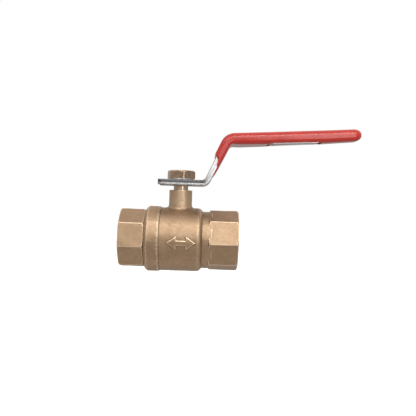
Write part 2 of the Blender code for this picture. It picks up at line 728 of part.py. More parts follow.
def build_window():
    """The opening under the grip, as wide as the channel's steel."""
    sections = []
    slope = math.tan(GRIP_ANGLE)
    corner_x = RISE_FOOT_X + (GRIP_CORNER_Z - PLATE_TOP_Z) / math.tan(RISE_ANGLE)
    for x in WINDOW_X:
        top_z = GRIP_CORNER_Z + (x - corner_x) * slope
        half_width = interpolate(HALF_WIDTHS, x) - 0.4 * MM
        upper = -interpolate(EDGE_DEPTHS, x)
        lower = upper - 5.0 * MM
        outline = [(half_width, upper), (half_width, lower), (-half_width, lower),
                   (-half_width, upper)]
        sections.append(placed_section((x, top_z, GRIP_ANGLE), outline))
    return loft("grip_window", sections, cutter=True)


# ---- Nut and washer -------------------------------------------------------------------
def build_nut(parent):
    low, high = NUT_Z
    nut = prism("lever_nut", 6, NUT_FLATS, low, high, NUT_SPIN, material=NUT_BRASS)
    full_r = NUT_FLATS / 2 / math.cos(math.pi / 6) + 0.3 * MM
    face_r = NUT_FLATS / 2 - 0.3 * MM
    easing = (full_r - face_r) * math.tan(math.radians(30.0))
    profile = [(0.0, high), (face_r, high), (full_r, high - easing), (full_r, low - 1.0 * MM),
               (0.0, low - 1.0 * MM)]
    combine(nut, turned("nut_easing", profile, NECK_STEPS, cutter=True), "INTERSECT")
    above, below = high + 1.0 * MM, low - 2.0 * MM
    profile = [(0.0, above), (NUT_BORE_R, above), (NUT_BORE_R, below), (0.0, below)]
    combine(nut, turned("nut_bore", profile, SMALL_STEPS, cutter=True), "DIFFERENCE")
    smooth(nut, 20.0)
    nut.parent = parent


# ---- Assembly -------------------------------------------------------------------------
LEVER_PIVOT = pivot("lever_pivot")
BALL_PIVOT = pivot("ball_pivot")

build_body()
build_end_cap()
build_seat("seat_ring_inlet", -1)
build_seat("seat_ring_outlet", 1)
build_o_ring("cap_seal", CAVITY_R - GAP - SEAL_WIRE_R, SEAL_WIRE_R, (SEAL_X, 0.0, 0.0), ALONG_X)
build_gland()
build_ball(BALL_PIVOT)
build_stem(LEVER_PIVOT)
stem_ring = build_o_ring("stem_o_ring", RING_GROOVE_R + GAP + RING_WIRE_R, RING_WIRE_R,
                         (0.0, 0.0, sum(RING_GROOVE_Z) / 2))
stem_ring.parent = LEVER_PIVOT
build_lever(LEVER_PIVOT)
washer = ring("lever_washer", WASHER_R, WASHER_Z[1] - WASHER_Z[0], material=ZINC, z=WASHER_Z[0])
washer.parent = LEVER_PIVOT
build_nut(LEVER_PIVOT)
build_sleeve(LEVER_PIVOT)
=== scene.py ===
"""Looks of the quarter-turn ball valve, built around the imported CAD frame."""

import math

import bmesh
import bpy
import numpy as np
from mathutils import Matrix, Vector, noise


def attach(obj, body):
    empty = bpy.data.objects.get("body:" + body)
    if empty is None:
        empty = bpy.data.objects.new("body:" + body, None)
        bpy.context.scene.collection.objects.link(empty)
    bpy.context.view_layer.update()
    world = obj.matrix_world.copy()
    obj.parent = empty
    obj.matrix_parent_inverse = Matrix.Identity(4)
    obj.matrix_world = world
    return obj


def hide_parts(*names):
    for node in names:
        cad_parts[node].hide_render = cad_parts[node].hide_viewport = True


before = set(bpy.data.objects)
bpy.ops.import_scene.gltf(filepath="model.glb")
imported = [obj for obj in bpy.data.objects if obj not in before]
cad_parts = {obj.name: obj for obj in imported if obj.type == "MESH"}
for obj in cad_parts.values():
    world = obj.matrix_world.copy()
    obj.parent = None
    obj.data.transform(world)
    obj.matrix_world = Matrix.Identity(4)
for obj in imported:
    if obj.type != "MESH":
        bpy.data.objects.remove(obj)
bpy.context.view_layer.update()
MM = 0.001
MARK_GAIN = 0.9                     # how strongly edges and hollows are marked

# ---- Sizes of the CAD, in millimetres
HALF_LENGTH = 41.0
APOTHEM = 19.5                      # octagon, half its width over flats
THREAD_R, THREAD_ROOT_R, THREAD_PITCH = 15.15, 16.6, 2.309
WATERWAY_R, MOUTH_R = 12.5, 17.15
CAP_NORMAL, OUTLET_NORMAL = 171.0, 162.5   # where the front flats look, from +Y over +Z
RIM_X, RIM_R, CAP_X = -23.3, 20.55, -23.6
BARREL_R, COLLAR_R, GROOVE_R, CAVITY_R = 22.1, 22.8, 19.8, 19.3
NECK_R, NECK_TOP, NECK_FILLET = 8.05, 34.4, 2.1
CHAMBER_R, CHAMBER_FLOOR, STEM_BORE_R = 6.6, 26.5, 5.4
POCKET_R, POCKET_TOP, POCKET_LOW = 6.5, 23.6, 21.2
SHEET, PLATE_TOP = 2.5, 41.6
RISE_ANGLE, GRIP_ANGLE = math.radians(65.4), math.radians(4.2)
RISE_FOOT_X, GRIP_CORNER_Z = 16.5, 73.0
PLATE_END_X, LEVER_TIP_X, SLEEVE_TIP_X = -15.6, 121.2, 125.5
HALF_WIDTHS = np.array(((19, 13), (34, 11.2), (43, 10.5), (62, 8.5), (107, 5.0), (124, 4.6)), float)
EDGE_DEPTHS = np.array(((19, 3.8), (26, 4.4), (40, 5.0), (60, 5.5), (97, 6.4), (124, 6.0)), float)


# ---- Mesh building
class Skin:
    """A closed skin, put together from rings of points in millimetres."""

    def __init__(self):
        self.points, self.cast, self.faces, self.slots, self.count = [], [], [], [], 0

    def ring(self, points, cast=0.0):
        points = np.asarray(points, float)
        index = np.arange(self.count, self.count + len(points))
        self.points.append(points)
        self.cast.append(np.broadcast_to(np.asarray(cast, float), (len(points),)))
        self.count += len(points)
        return index

    def face(self, corners, slot):
        self.faces.append(tuple(int(c) for c in corners))
        self.slots.append(slot)

    def join(self, a, b, slot=0, skip=()):
        n = len(a)
        for i in range(n):
            if i not in skip:
                j = (i + 1) % n
                self.face((a[i], a[j], b[j], b[i]), slot)

    def halve(self, a, b, slot=0):
        """Join a ring to one with half as many points."""
        n = len(b)
        for i in range(n):
            self.face((a[2 * i], a[2 * i + 1], b[i]), slot)
            self.face((a[2 * i + 1], a[(2 * i + 2) % (2 * n)], b[(i + 1) % n], b[i]), slot)

    def cap(self, a, slot=0):
        """Close a ring with a fan round its middle."""
        points = np.concatenate(self.points)[a]
        centre = self.ring([points.mean(0)])[0]
        for i in range(len(a)):
            self.face((a[i], a[(i + 1) % len(a)], centre), slot)

    def stack(self, rings, slot=0):
        for a, b in zip(rings, rings[1:]):
            self.join(a, b, slot)

    def tube(self, rings):
        """Join the rings and close both ends."""
        self.stack(rings)
        self.cap(rings[0])
        self.cap(rings[-1])

    def build(self, name, materials, roughen=0.0):
        mesh = bpy.data.meshes.new(name)
        mesh.from_pydata(np.concatenate(self.points) * MM, [], self.faces)
        for material in materials:
            mesh.materials.append(material)
        mesh.polygons.foreach_set("material_index", self.slots)
        store(mesh, "cast", np.concatenate(self.cast))
        bm = bmesh.new()
        bm.from_mesh(mesh)
        bmesh.ops.delete(bm, geom=[v for v in bm.verts if not v.link_faces], context="VERTS")
        bmesh.ops.recalc_face_normals(bm, faces=bm.faces)
        bm.to_mesh(mesh)
        bm.free()
        obj = linked(name, mesh)
        if roughen:
            roughen_cast(mesh, roughen)
        return obj


def linked(name, data):
    obj = bpy.data.objects.new(name, data)
    bpy.context.scene.collection.objects.link(obj)
    return obj


def store(mesh, name, values):
    """Write one number per point as a named attribute."""
    layer = mesh.attributes.get(name) or mesh.attributes.new(name, "FLOAT", "POINT")
    layer.data.foreach_set("value", values.astype(np.float32))


def mesh_arrays(mesh):
    """Points and normals of a mesh, in metres."""
    found = []
    for key in ("co", "normal"):
        values = np.zeros(len(mesh.vertices) * 3)
        mesh.vertices.foreach_get(key, values)
        found.append(values.reshape(-1, 3))
    return found


def roughen_cast(mesh, amount):
    """Uneven sand-cast skin: the cast points move a little along their normals."""
    co, normal = mesh_arrays(mesh)
    cast = np.zeros(len(co))
    mesh.attributes["cast"].data.foreach_get("value", cast)
    for i in np.nonzero(cast > 0.01)[0]:
        p = Vector(co[i] / MM)
        lift = noise.noise(p * 0.16) + 0.45 * noise.noise(p * 0.5) + 0.22 * noise.noise(p * 1.3)
        co[i] += normal[i] * (lift * amount * cast[i] * MM)
    mesh.vertices.foreach_set("co", co.ravel())
    mesh.update()


def mark_edges(mesh):
    """Attributes for the brightened edges (wear and painted highlight) and the darkened hollows:
    how convex and how hollow the surface is at a point.
    """
    co, normal = mesh_arrays(mesh)
    ends = np.zeros(len(mesh.edges) * 2, int)
    mesh.edges.foreach_get("vertices", ends)
    a, b = ends.reshape(-1, 2).T
    step = (co[b] - co[a]) / MM
    length2 = np.maximum((step ** 2).sum(1), 1e-4)
    total = np.zeros(len(co))
    number = np.zeros(len(co))
    for here, sign in ((a, -1.0), (b, 1.0)):
        np.add.at(total, here, sign * (normal[here] * step).sum(1) * 2 / length2)
        np.add.at(number, here, 1.0)
    bend = total / np.maximum(number, 1.0)
    for name, value in (("convex", bend), ("hollow", -bend)):
        store(mesh, name, np.clip(value * MARK_GAIN, 0.0, 1.0))


def rounded(points, radius=0.3, steps=4, closed=False):
    """A path of (along, out) points whose corners are rounded; a third value is its own radius."""
    path = []
    n = len(points)
    for i, point in enumerate(points):
        own = point[2] if len(point) > 2 else radius
        here = np.array(point[:2], float)
        if not closed and i in (0, n - 1):
            path.append(tuple(here))
            continue
        back = np.array(points[i - 1][:2], float) - here
        ahead = np.array(points[(i + 1) % n][:2], float) - here
        lb, la = np.linalg.norm(back), np.linalg.norm(ahead)
        back, ahead = back / lb, ahead / la
        half = math.acos(max(-1.0, min(1.0, float(back @ ahead)))) / 2
        setback = own / math.tan(half) if half > 0.01 else 0.0
        setback = min(setback, 0.45 * lb, 0.45 * la)
        if setback < 0.01 or half > 1.5:
            path.append(tuple(here))
            continue
        turn = math.pi / 2 - half
        r = setback * math.tan(half)
        middle = here + (back + ahead) / np.linalg.norm(back + ahead) * (r / math.sin(half))
        first, last = here + back * setback - middle, here + ahead * setback - middle
        for k in range(steps + 1):
            t = k / steps
            mixed = math.sin((1 - t) * 2 * turn) * first + math.sin(t * 2 * turn) * last
            path.append(tuple(middle + mixed / math.sin(2 * turn)))
    return path


def about_x(x, r, theta):
    """Points at radius r round the pipe's axis; theta runs from +Y over +Z."""
    x = np.broadcast_to(x, theta.shape)
    return np.stack((x, r * np.cos(theta), r * np.sin(theta)), 1)


def about_z(z, r, theta):
    """Points at radius r round the stem's axis; theta runs from +X over +Y."""
    z = np.broadcast_to(z, theta.shape)
    return np.stack((r * np.cos(theta), r * np.sin(theta), z), 1)


def smooth_max(a, b, k):
    """The larger of two values, blended over a width k."""
    h = np.clip(0.5 + 0.5 * (a - b) / k, 0.0, 1.0)
    return b * (1 - h) + a * h + k * h * (1 - h)


def smooth_min(a, b, k):
    return -smooth_max(-np.asarray(a, float), -np.asarray(b, float), k)


def polygon_r(theta, sides, apothem, corner, first_normal):
    """Radius of a polygon with rounded corners; angles in radians."""
    sector = math.tau / sides
    a = np.abs((theta - first_normal + sector / 2) % sector - sector / 2)
    tangent = math.atan((apothem - corner) * math.tan(sector / 2) / apothem)
    b = sector / 2 - a
    c = (apothem - corner) / math.cos(sector / 2)
    arc = c * np.cos(b) + np.sqrt(np.maximum(corner ** 2 - (c * np.sin(b)) ** 2, 0.0))
    return np.where(a < tangent, apothem / np.cos(a), arc)


def angles_round(sides, first_normal, spread, widest, extra=()):
    """Angles round a turn, close together at a polygon's corners and in the extra ranges."""
    sector = 360.0 / sides
    found = set()
    for k in range(sides):
        corner = first_normal + sector / 2 + sector * k
        for offset in spread:
            found.update((round((corner + offset) % 360, 3), round((corner - offset) % 360, 3)))
    for low, high, step in extra:
        found.update(round(v % 360, 3) for v in np.arange(low, high, step))
    kept = []
    for value in sorted(found):
        if not kept or value - kept[-1] > 0.24:
            kept.append(value)
    filled = []
    for value, after in zip(kept, kept[1:] + [kept[0] + 360]):
        parts = max(1, math.ceil((after - value) / widest))
        filled += [value + (after - value) * k / parts for k in range(parts)]
    return np.radians(filled)


def smooth_step(t):
    return t * t * (3 - 2 * t)


def worm(x, theta, low, high, pitch, fade_low, fade_high):
    """Depth share, 0 to 1, of a right-handed screw thread at (x, theta)."""
    phase = (x / pitch - theta / math.tau) % 1.0
    tooth = 1.0 - np.abs(2.0 * phase - 1.0)
    tooth = np.clip((tooth - 0.1) / 0.8, 0.0, 1.0)
    tooth = 0.6 * tooth + 0.4 * smooth_step(tooth)
    fade = np.clip((x - low) / fade_low, 0.0, 1.0) * np.clip((high - x) / fade_high, 0.0, 1.0)
    return tooth * fade


def swap(obj, cutter, operation):
    """Apply an exact Boolean and drop the other object."""
    modifier = obj.modifiers.new("cut", "BOOLEAN")
    modifier.operation = operation
    modifier.solver = "EXACT"
    modifier.object = cutter
    graph = bpy.context.evaluated_depsgraph_get()
    graph.update()
    mesh = bpy.data.meshes.new_from_object(obj.evaluated_get(graph))
    obj.modifiers.clear()
    old = obj.data
    obj.data = mesh
    bpy.data.meshes.remove(old)
    bpy.data.objects.remove(cutter, do_unlink=True)
    mesh.name = obj.name


def finish_piece(obj, body, node, angle=42.0):
    """Shade it, ride it on its body and let it stand for its CAD node."""
    mark_edges(obj.data)
    obj.data.shade_smooth()
    obj.data.set_sharp_from_angle(angle=math.radians(angle))
    modifier = obj.modifiers.new("weighted", "WEIGHTED_NORMAL")
    modifier.keep_sharp = True
    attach(obj, body)
    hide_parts(node)


# ---- Materials
class Nodes:
    """Short calls for building a material's nodes."""

    def __init__(self, name):
        self.material = bpy.data.materials.new(name)
        self.material.use_nodes = True
        self.tree = self.material.node_tree
        self.shader = self.tree.nodes["Principled BSDF"]
        self.place = self.add("ShaderNodeTexCoord").outputs["Object"]

    def add(self, kind, **settings):
        node = self.tree.nodes.new(kind)
        for key, value in settings.items():
            setattr(node, key, value)
        return node

    def put(self, socket, value):
        if isinstance(value, bpy.types.NodeSocket):
            self.tree.links.new(value, socket)
        else:
            socket.default_value = value

    def fill(self, node, inputs, output):
        """Set or link the inputs and give back one output."""
        for key, value in inputs.items():
            self.put(node.inputs[key], value)
        return node.outputs[output]

    def noise(self, size_mm, detail=3.0, rough=0.55, distort=0.0, stretch=None):
        place = self.place
        if stretch:
            place = self.fill(self.add("ShaderNodeMapping"), {"Vector": place, "Scale": stretch},
                              "Vector")
        return self.fill(self.add("ShaderNodeTexNoise"),
                         {"Vector": place, "Scale": 1.0 / (size_mm * MM), "Detail": detail,
                          "Roughness": rough, "Distortion": distort}, "Fac")

    def cells(self, size_mm):
        return self.fill(self.add("ShaderNodeTexVoronoi"),
                         {"Vector": self.place, "Scale": 1.0 / (size_mm * MM)}, "Distance")

    def attribute(self, name):
        return self.add("ShaderNodeAttribute", attribute_name=name).outputs["Fac"]

    def span(self, value, low, high, out_low=0.0, out_high=1.0):
        return self.fill(self.add("ShaderNodeMapRange"),
                         {"Value": value, "From Min": low, "From Max": high, "To Min": out_low,
                          "To Max": out_high}, "Result")

    def math(self, operation, a, b):
        return self.fill(self.add("ShaderNodeMath", operation=operation), {0: a, 1: b}, 0)

    def mix(self, share, a, b):
        """Blend two colours; sockets 6, 7 and 2 are the colour ones."""
        a, b = (v if isinstance(v, bpy.types.NodeSocket) else (*v, 1.0) for v in (a, b))
        return self.fill(self.add("ShaderNodeMix", data_type="RGBA"), {0: share, 6: a, 7: b}, 2)

    def bump(self, height, distance_mm, strength=1.0, below=None):
        inputs = {"Strength": strength, "Distance": distance_mm * MM, "Height": height}
        if below is not None:
            inputs["Normal"] = below
        return self.fill(self.add("ShaderNodeBump"), inputs, "Normal")

    def darken_hollows(self, colour, low, high, share, shade):
        """Darken the hollows, by how concave the surface is at each point."""
        return self.mix(self.span(self.attribute("hollow"), low, high, 0.0, share), colour, shade)

    def wear_and_sheen(self, colour, low, high, share, shade):
        """Brighten the convex edges: partly wear, partly a painted highlight."""
        return self.mix(self.span(self.attribute("convex"), low, high, 0.0, share), colour, shade)

    def set(self, **values):
        for key, value in values.items():
            self.put(self.shader.inputs[key.replace("_", " ").title().replace("Ior", "IOR")], value)
        return self.material


def cast_brass():
    """Sand-cast brass: blotches and pits, dark hollows, bright edges that are partly wear and
    partly painted highlight, a cleaner neck.
    """
    n = Nodes("cast_brass_skin")
    broad = n.noise(10.0, 3.0)
    blotch = n.noise(1.7, 5.0, 0.65, 0.4)
    grain = n.noise(0.5, 4.0, 0.68)
    pits = n.cells(0.8)
    colour = n.mix(n.span(broad, 0.3, 0.7), (0.300, 0.196, 0.116), (0.362, 0.246, 0.152))
    colour = n.mix(n.span(blotch, 0.42, 0.75, 0.0, 0.42), colour, (0.215, 0.120, 0.066))
    colour = n.mix(n.span(grain, 0.5, 0.72, 0.0, 0.5), colour, (0.50, 0.37, 0.235))
    colour = n.darken_hollows(colour, 0.1, 0.7, 0.75, (0.085, 0.048, 0.028))
    # Bright edges: partly wear, partly a painted highlight standing in for the light lines along
    # the collar and barrel corners.
    wear_and_highlight = n.math("MULTIPLY", n.span(n.attribute("convex"), 0.1, 0.5),
                  n.span(blotch, 0.3, 0.6, 0.7, 1.0))
    clean = n.attribute("clean")
    colour = n.mix(n.math("MULTIPLY", clean, n.span(grain, 0.3, 0.7, 0.35, 0.75)), colour,
                   (0.58, 0.43, 0.28))
    colour = n.mix(wear_and_highlight, colour, (0.66, 0.51, 0.35))
    rough = n.math("SUBTRACT", n.span(blotch, 0.3, 0.7, 0.36, 0.5), n.math("MULTIPLY", wear_and_highlight, 0.1))
    rough = n.math("SUBTRACT", rough, n.math("MULTIPLY", clean, 0.08))
    normal = n.bump(broad, 0.2)
    normal = n.bump(grain, 0.08, 1.0, normal)
    normal = n.bump(n.span(pits, 0.0, 0.28), 0.03, 0.6, normal)
    return n.set(base_color=colour, roughness=rough, metallic=0.78, normal=normal,
                 specular_ior_level=0.8)


def machined_brass(name, dark, light, rough, size=1.0):
    """Turned or milled brass: fine tool marks, a few stains."""
    n = Nodes(name)
    broad = n.noise(6.0 * size, 4.0, 0.6)
    marks = n.noise(0.5, 2.0, 0.5, 0.0, (5.0, 0.7, 0.7))
    stain = n.noise(2.0 * size, 5.0, 0.65, 0.8)
    colour = n.mix(n.span(broad, 0.3, 0.7), dark, light)
    shade = tuple(0.5 * c for c in dark)
    colour = n.mix(n.span(stain, 0.55, 0.8, 0.0, 0.5), colour, shade)
    colour = n.darken_hollows(colour, 0.1, 0.8, 0.75, shade)
    # Edges painted up to nearly twice the light tone: partly wear, partly a painted highlight,
    # which gives the nut its bright front edge.
    colour = n.wear_and_sheen(colour, 0.25, 0.8, 0.9, tuple(min(0.92, 1.9 * c) for c in light))
    normal = n.bump(marks, 0.012, 0.8)
    normal = n.bump(stain, 0.02, 0.6, normal)
    return n.set(base_color=colour, roughness=n.span(marks, 0.3, 0.7, rough - 0.06, rough + 0.08),
                 metallic=0.95, normal=normal)


def zinc_plate():
    """Bright zinc with a spangle; the plate's sheared edge is part torn, and above the tear line it
    is painted dark, partly its smooth burnished zone and partly painted shade and dark reflection.
    """
    n = Nodes("zinc_plated_steel")
    broad = n.noise(7.0, 4.0, 0.6)
    spangle = n.noise(0.7, 4.0, 0.65, 0.4)
    lines = n.noise(0.6, 3.0, 0.6, 0.0, (0.25, 1.6, 1.6))
    colour = n.mix(n.span(broad, 0.3, 0.7), (0.48, 0.48, 0.486), (0.58, 0.58, 0.585))
    colour = n.mix(n.span(spangle, 0.5, 0.75, 0.0, 0.35), colour, (0.25, 0.25, 0.26))
    # Painted dark band above the tear line: partly the burnished shear zone, partly painted shade
    # and dark reflection.
    colour = n.mix(n.math("MULTIPLY", n.attribute("band"), n.span(spangle, 0.3, 0.7, 0.8, 1.0)),
                   colour, (0.040, 0.037, 0.038))
    shear = n.attribute("shear")
    torn = n.mix(n.span(lines, 0.4, 0.6), (0.14, 0.137, 0.137), (0.50, 0.497, 0.497))
    colour = n.mix(shear, colour, torn)
    # Painted light: the steel seen through the opening under the grip is painted near white against
    # the shade inside the coat.
    colour = n.mix(n.math("MULTIPLY", n.attribute("painted_window_light"), n.span(spangle, 0.3, 0.7, 0.75, 1.0)),
                   colour, (0.86, 0.85, 0.85))
    colour = n.wear_and_sheen(colour, 0.35, 1.0, 0.4, (0.6, 0.6, 0.6))
    rough = n.math("ADD", n.span(spangle, 0.3, 0.7, 0.26, 0.38), n.math("MULTIPLY", shear, 0.14))
    normal = n.bump(spangle, 0.018, 0.7)
    normal = n.bump(n.math("MULTIPLY", lines, shear), 0.09, 0.9, normal)
    return n.set(base_color=colour, roughness=rough, metallic=0.96, normal=normal)


def red_pvc():
    """Glossy dip-coated PVC with a faint peel."""
    n = Nodes("dip_coated_pvc")
    broad = n.noise(11.0, 3.0, 0.5)
    peel = n.noise(1.6, 2.0, 0.5, 0.0, (0.6, 1.2, 1.2))
    specks = n.noise(0.5, 4.0, 0.6)
    colour = n.mix(n.span(broad, 0.3, 0.7), (0.35, 0.018, 0.012), (0.42, 0.027, 0.017))
    colour = n.mix(n.span(specks, 0.6, 0.8, 0.0, 0.35), colour, (0.30, 0.018, 0.016))
    colour = n.wear_and_sheen(colour, 0.3, 1.0, 0.3, (0.55, 0.07, 0.055))
    rough = n.span(specks, 0.3, 0.75, 0.15, 0.21)
    normal = n.bump(peel, 0.007, 0.4)
    normal = n.bump(specks, 0.002, 0.5, normal)
    return n.set(base_color=colour, roughness=rough, metallic=0.0, normal=normal,
                 specular_ior_level=0.42)


def chrome():
    n = Nodes("ball_chrome_plate")
    broad = n.noise(8.0, 3.0)
    wipe = n.noise(0.9, 4.0, 0.6, 0.0, (0.3, 2.0, 2.0))
    colour = n.mix(n.span(broad, 0.3, 0.7), (0.62, 0.63, 0.645), (0.70, 0.71, 0.72))
    colour = n.wear_and_sheen(colour, 0.3, 1.0, 0.5, (0.85, 0.85, 0.86))
    normal = n.bump(wipe, 0.004, 0.5)
    return n.set(base_color=colour, roughness=n.span(wipe, 0.3, 0.75, 0.07, 0.2), metallic=1.0,
                 normal=normal)


def ptfe():
    n = Nodes("white_ptfe")
    broad = n.noise(3.0, 3.0)
    fine = n.noise(0.35, 3.0)
    colour = n.mix(n.span(broad, 0.3, 0.7), (0.74, 0.735, 0.70), (0.84, 0.835, 0.81))
    colour = n.darken_hollows(colour, 0.1, 0.8, 0.5, (0.55, 0.53, 0.48))
    return n.set(base_color=colour, roughness=n.span(fine, 0.3, 0.7, 0.38, 0.55), metallic=0.0,
                 normal=n.bump(fine, 0.01, 0.5))


def rubber():
    n = Nodes("black_nitrile")
    broad = n.noise(1.6, 3.0)
    fine = n.noise(0.2, 3.0)
    colour = n.mix(n.span(broad, 0.3, 0.7), (0.018, 0.018, 0.019), (0.045, 0.044, 0.043))
    return n.set(base_color=colour, roughness=n.span(fine, 0.3, 0.7, 0.45, 0.65), metallic=0.0,
                 normal=n.bump(fine, 0.012, 0.6))


CAST = cast_brass()
FACED = machined_brass("faced_brass", (0.36, 0.26, 0.15), (0.46, 0.34, 0.21), 0.30)
TURNED = machined_brass("turned_brass_bar", (0.165, 0.125, 0.088), (0.27, 0.21, 0.15), 0.22, 0.5)
NUT_METAL = machined_brass("dull_nut_brass", (0.29, 0.20, 0.138), (0.43, 0.315, 0.22), 0.22, 0.5)
ZINC = zinc_plate()
RED = red_pvc()
CHROME = chrome()
PTFE = ptfe()
RUBBER = rubber()

# ---- Threaded octagon ends
EDGE = 0.5                          # rounding of the octagon's end edges
CORNER = 0.9                        # rounding of its corners
SPREAD = (0.0, 0.35, 0.7, 0.98, 1.8, 3.8, 7.5, 12.0, 17.0)      # degrees from a corner
# distances of the rows from the end plane
END_ROWS = (1.9, 1.4, 1.15, 0.95, 0.75, 0.6, 0.5, 0.38, 0.26, 0.15, 0.07, 0.02, 0.0)
CAST_SLOT, FACED_SLOT = 0, 1
CAST_UNEVEN = 0.13


def edge_drop(distance, radius):
    """How far a rounded edge is drawn in, at a distance from its end plane."""
    inside = np.clip(radius - distance, 0.0, radius)
    return radius - np.sqrt(radius ** 2 - inside ** 2)


def octagon_r(x, theta, start, end, normal):
    """Outer radius of an octagon end; x, start and end run outwards along the axis."""
    flat = polygon_r(theta, 8, APOTHEM, CORNER, math.radians(normal))
    cone = min(21.5, 20.1 + (x - start), 20.1 + (end - x))
    return smooth_min(flat, cone, 0.35) - edge_drop(end - x, EDGE) - edge_drop(x - start, 0.3)


def bore_r(x, theta):
    """Radius of the threaded mouth at x from the valve's middle."""
    depth = worm(x, theta, 25.2, 42.5, THREAD_PITCH, 2.6, 0.5)
    thread = THREAD_R + (THREAD_ROOT_R - THREAD_R) * depth
    return smooth_max(thread, MOUTH_R - (HALF_LENGTH - x), 0.12)


def threaded_mouth(skin, last, theta, sign, outline):
    """End face, mouth and thread, from the outer edge ring inwards. Returns the last ring."""
    rings = [last]
    inner = np.full(theta.shape, MOUTH_R + 0.1)
    for t in (0.12, 0.5, 0.9, 1.0):
        rings.append(skin.ring(about_x(sign * HALF_LENGTH, outline * (1 - t) + inner * t, theta)))
    rows = [HALF_LENGTH - d for d in (0.06, 0.16, 0.4, 0.8, 1.2, 1.6)]
    rows += list(np.arange(HALF_LENGTH - 1.8, 25.3, -0.23))
    for x in rows:
        rings.append(skin.ring(about_x(sign * x, bore_r(x, sign * theta), theta)))
    skin.stack(rings, FACED_SLOT)
    return rings[-1]


def pocket_rows(inner_x, radius):
    """(x, r) from the thread's root to the seat pocket's open side."""
    return rounded([(25.0, THREAD_R), (24.0, WATERWAY_R, 0.2), (17.5, WATERWAY_R, 0.3),
                    (17.5, 16.8, 0.15), (inner_x, 16.8, 0.1), (inner_x, radius)], 0.2, 3)


def with_gaps(values, widest):
    """Add even steps where two neighbours are further apart than widest."""
    out = []
    for value, after in zip(values, values[1:]):
        parts = max(1, math.ceil(abs(after - value) / widest))
        out += [value + (after - value) * k / parts for k in range(parts)]
    return out + [values[-1]]


# ---- Valve body
ARROW_X, ARROW_Z = 2.0, -1.5
ARROW = ((3.5, 1.5), (3.5, 4.2), (9.5, 0.0), (3.5, -4.2), (3.5, -1.5),
         (-3.5, -1.5), (-3.5, -4.2), (-9.5, 0.0), (-3.5, 4.2), (-3.5, 1.5))


def polygon_distance(px, pz, corners):
    """Signed distance to a polygon, negative inside."""
    nearest = np.full(px.shape, 1e9)
    inside = np.zeros(px.shape, bool)
    for (x0, z0), (x1, z1) in zip(corners, corners[1:] + corners[:1]):
        ex, ez = x1 - x0, z1 - z0
        t = np.clip(((px - x0) * ex + (pz - z0) * ez) / (ex * ex + ez * ez), 0.0, 1.0)
        nearest = np.minimum(nearest, np.hypot(px - x0 - t * ex, pz - z0 - t * ez))
        if z0 != z1:
            crosses = (z0 > pz) != (z1 > pz)
            inside ^= crosses & (px < (x1 - x0) * (pz - z0) / (z1 - z0) + x0)
    return np.where(inside, -nearest, nearest)


ARROW_HEIGHT, ARROW_SLOPE = 0.45, 0.75
BARREL_PATH = rounded([(RIM_X, RIM_R), (-22.6, 21.75, 1.2), (-21.3, COLLAR_R, 1.2),
                       (-13.75, COLLAR_R, 0.45), (-12.75, BARREL_R, 0.5), (13.3, BARREL_R, 2.0),
                       (14.5, 21.6, 2.0), (16.0, GROOVE_R, 0.5), (22.9, GROOVE_R, 0.3),
                       (23.7, 18.0)], 0.3, 5)
OCTAGON_X = 20.6                    # where the outlet's octagon starts
NECK_HOLE_X = (-11.6, 11.7)         # the barrel's opening under the neck
NECK_HOLE_ANGLES = (58.4, 121.6)
CAVITY_X = 7.8                      # half the length of the ball's cavity under the neck


def barrel_r(x, theta):
    """Outer radius of the body: barrel, groove and octagon, with the raised arrow."""
    base = np.interp(x, [p[0] for p in BARREL_PATH], [p[1] for p in BARREL_PATH], right=0.0)
    r = np.full(theta.shape, base)
    if x > OCTAGON_X - 0.25:
        octagon = octagon_r(max(x, OCTAGON_X), theta, OCTAGON_X, HALF_LENGTH, OUTLET_NORMAL)
        octagon = octagon - 3.0 * max(0.0, OCTAGON_X - x)
        r = smooth_max(r, octagon, 0.12) if x < 24.0 else octagon
    if abs(x - ARROW_X) < 12.0:
        front = np.cos(theta) < 0
        away = polygon_distance(np.full(theta.shape, x - ARROW_X), base * np.sin(theta) - ARROW_Z,
                                list(ARROW))
        share = np.clip(0.5 - (away - 0.15) / ARROW_SLOPE, 0.0, 1.0)
        r = r + np.where(front, ARROW_HEIGHT * smooth_step(share), 0.0)
    return r


def hole_boundary(grid, rows, columns):
    """Indices round a rectangle of a grid, starting at its lowest row and column."""
    (i0, i1), (j0, j1) = rows, columns
    path = [grid[i][j0] for i in range(i0, i1)] + [grid[i1][j] for j in range(j0, j1)]
    path += [grid[i][j1] for i in range(i1, i0, -1)] + [grid[i0][j] for j in range(j1, j0, -1)]
    return np.array(path)


def body_rows():
    """Where the body's rings stand along the axis, close together at the arrow and edges."""
    rows = sorted(p[0] for p in BARREL_PATH if p[0] < 20.3)
    rows = [x for x in rows if not -7.9 < x < 11.9]
    rows += list(np.arange(-7.9, 11.95, 0.32))
    rows += [20.35, 20.48, 20.6, 20.68, 20.78, 20.9, 21.1, 21.35, 21.6, 21.9, 22.4, 22.8, 23.0,
             23.2, 23.4, 23.7, 24.2]
    rows += [HALF_LENGTH - d for d in END_ROWS]
    rows = with_gaps(sorted(rows), 2.2)
    kept = [rows[0]]
    for x in rows[1:]:
        if x - kept[-1] > 0.015:
            kept.append(x)
    return kept


def even_span(values, wanted):
    """Places of the two values nearest to those wanted, an even number of steps apart."""
    first, last = (int(np.argmin(np.abs(np.asarray(values) - v))) for v in wanted)
    return first, last + (last - first) % 2


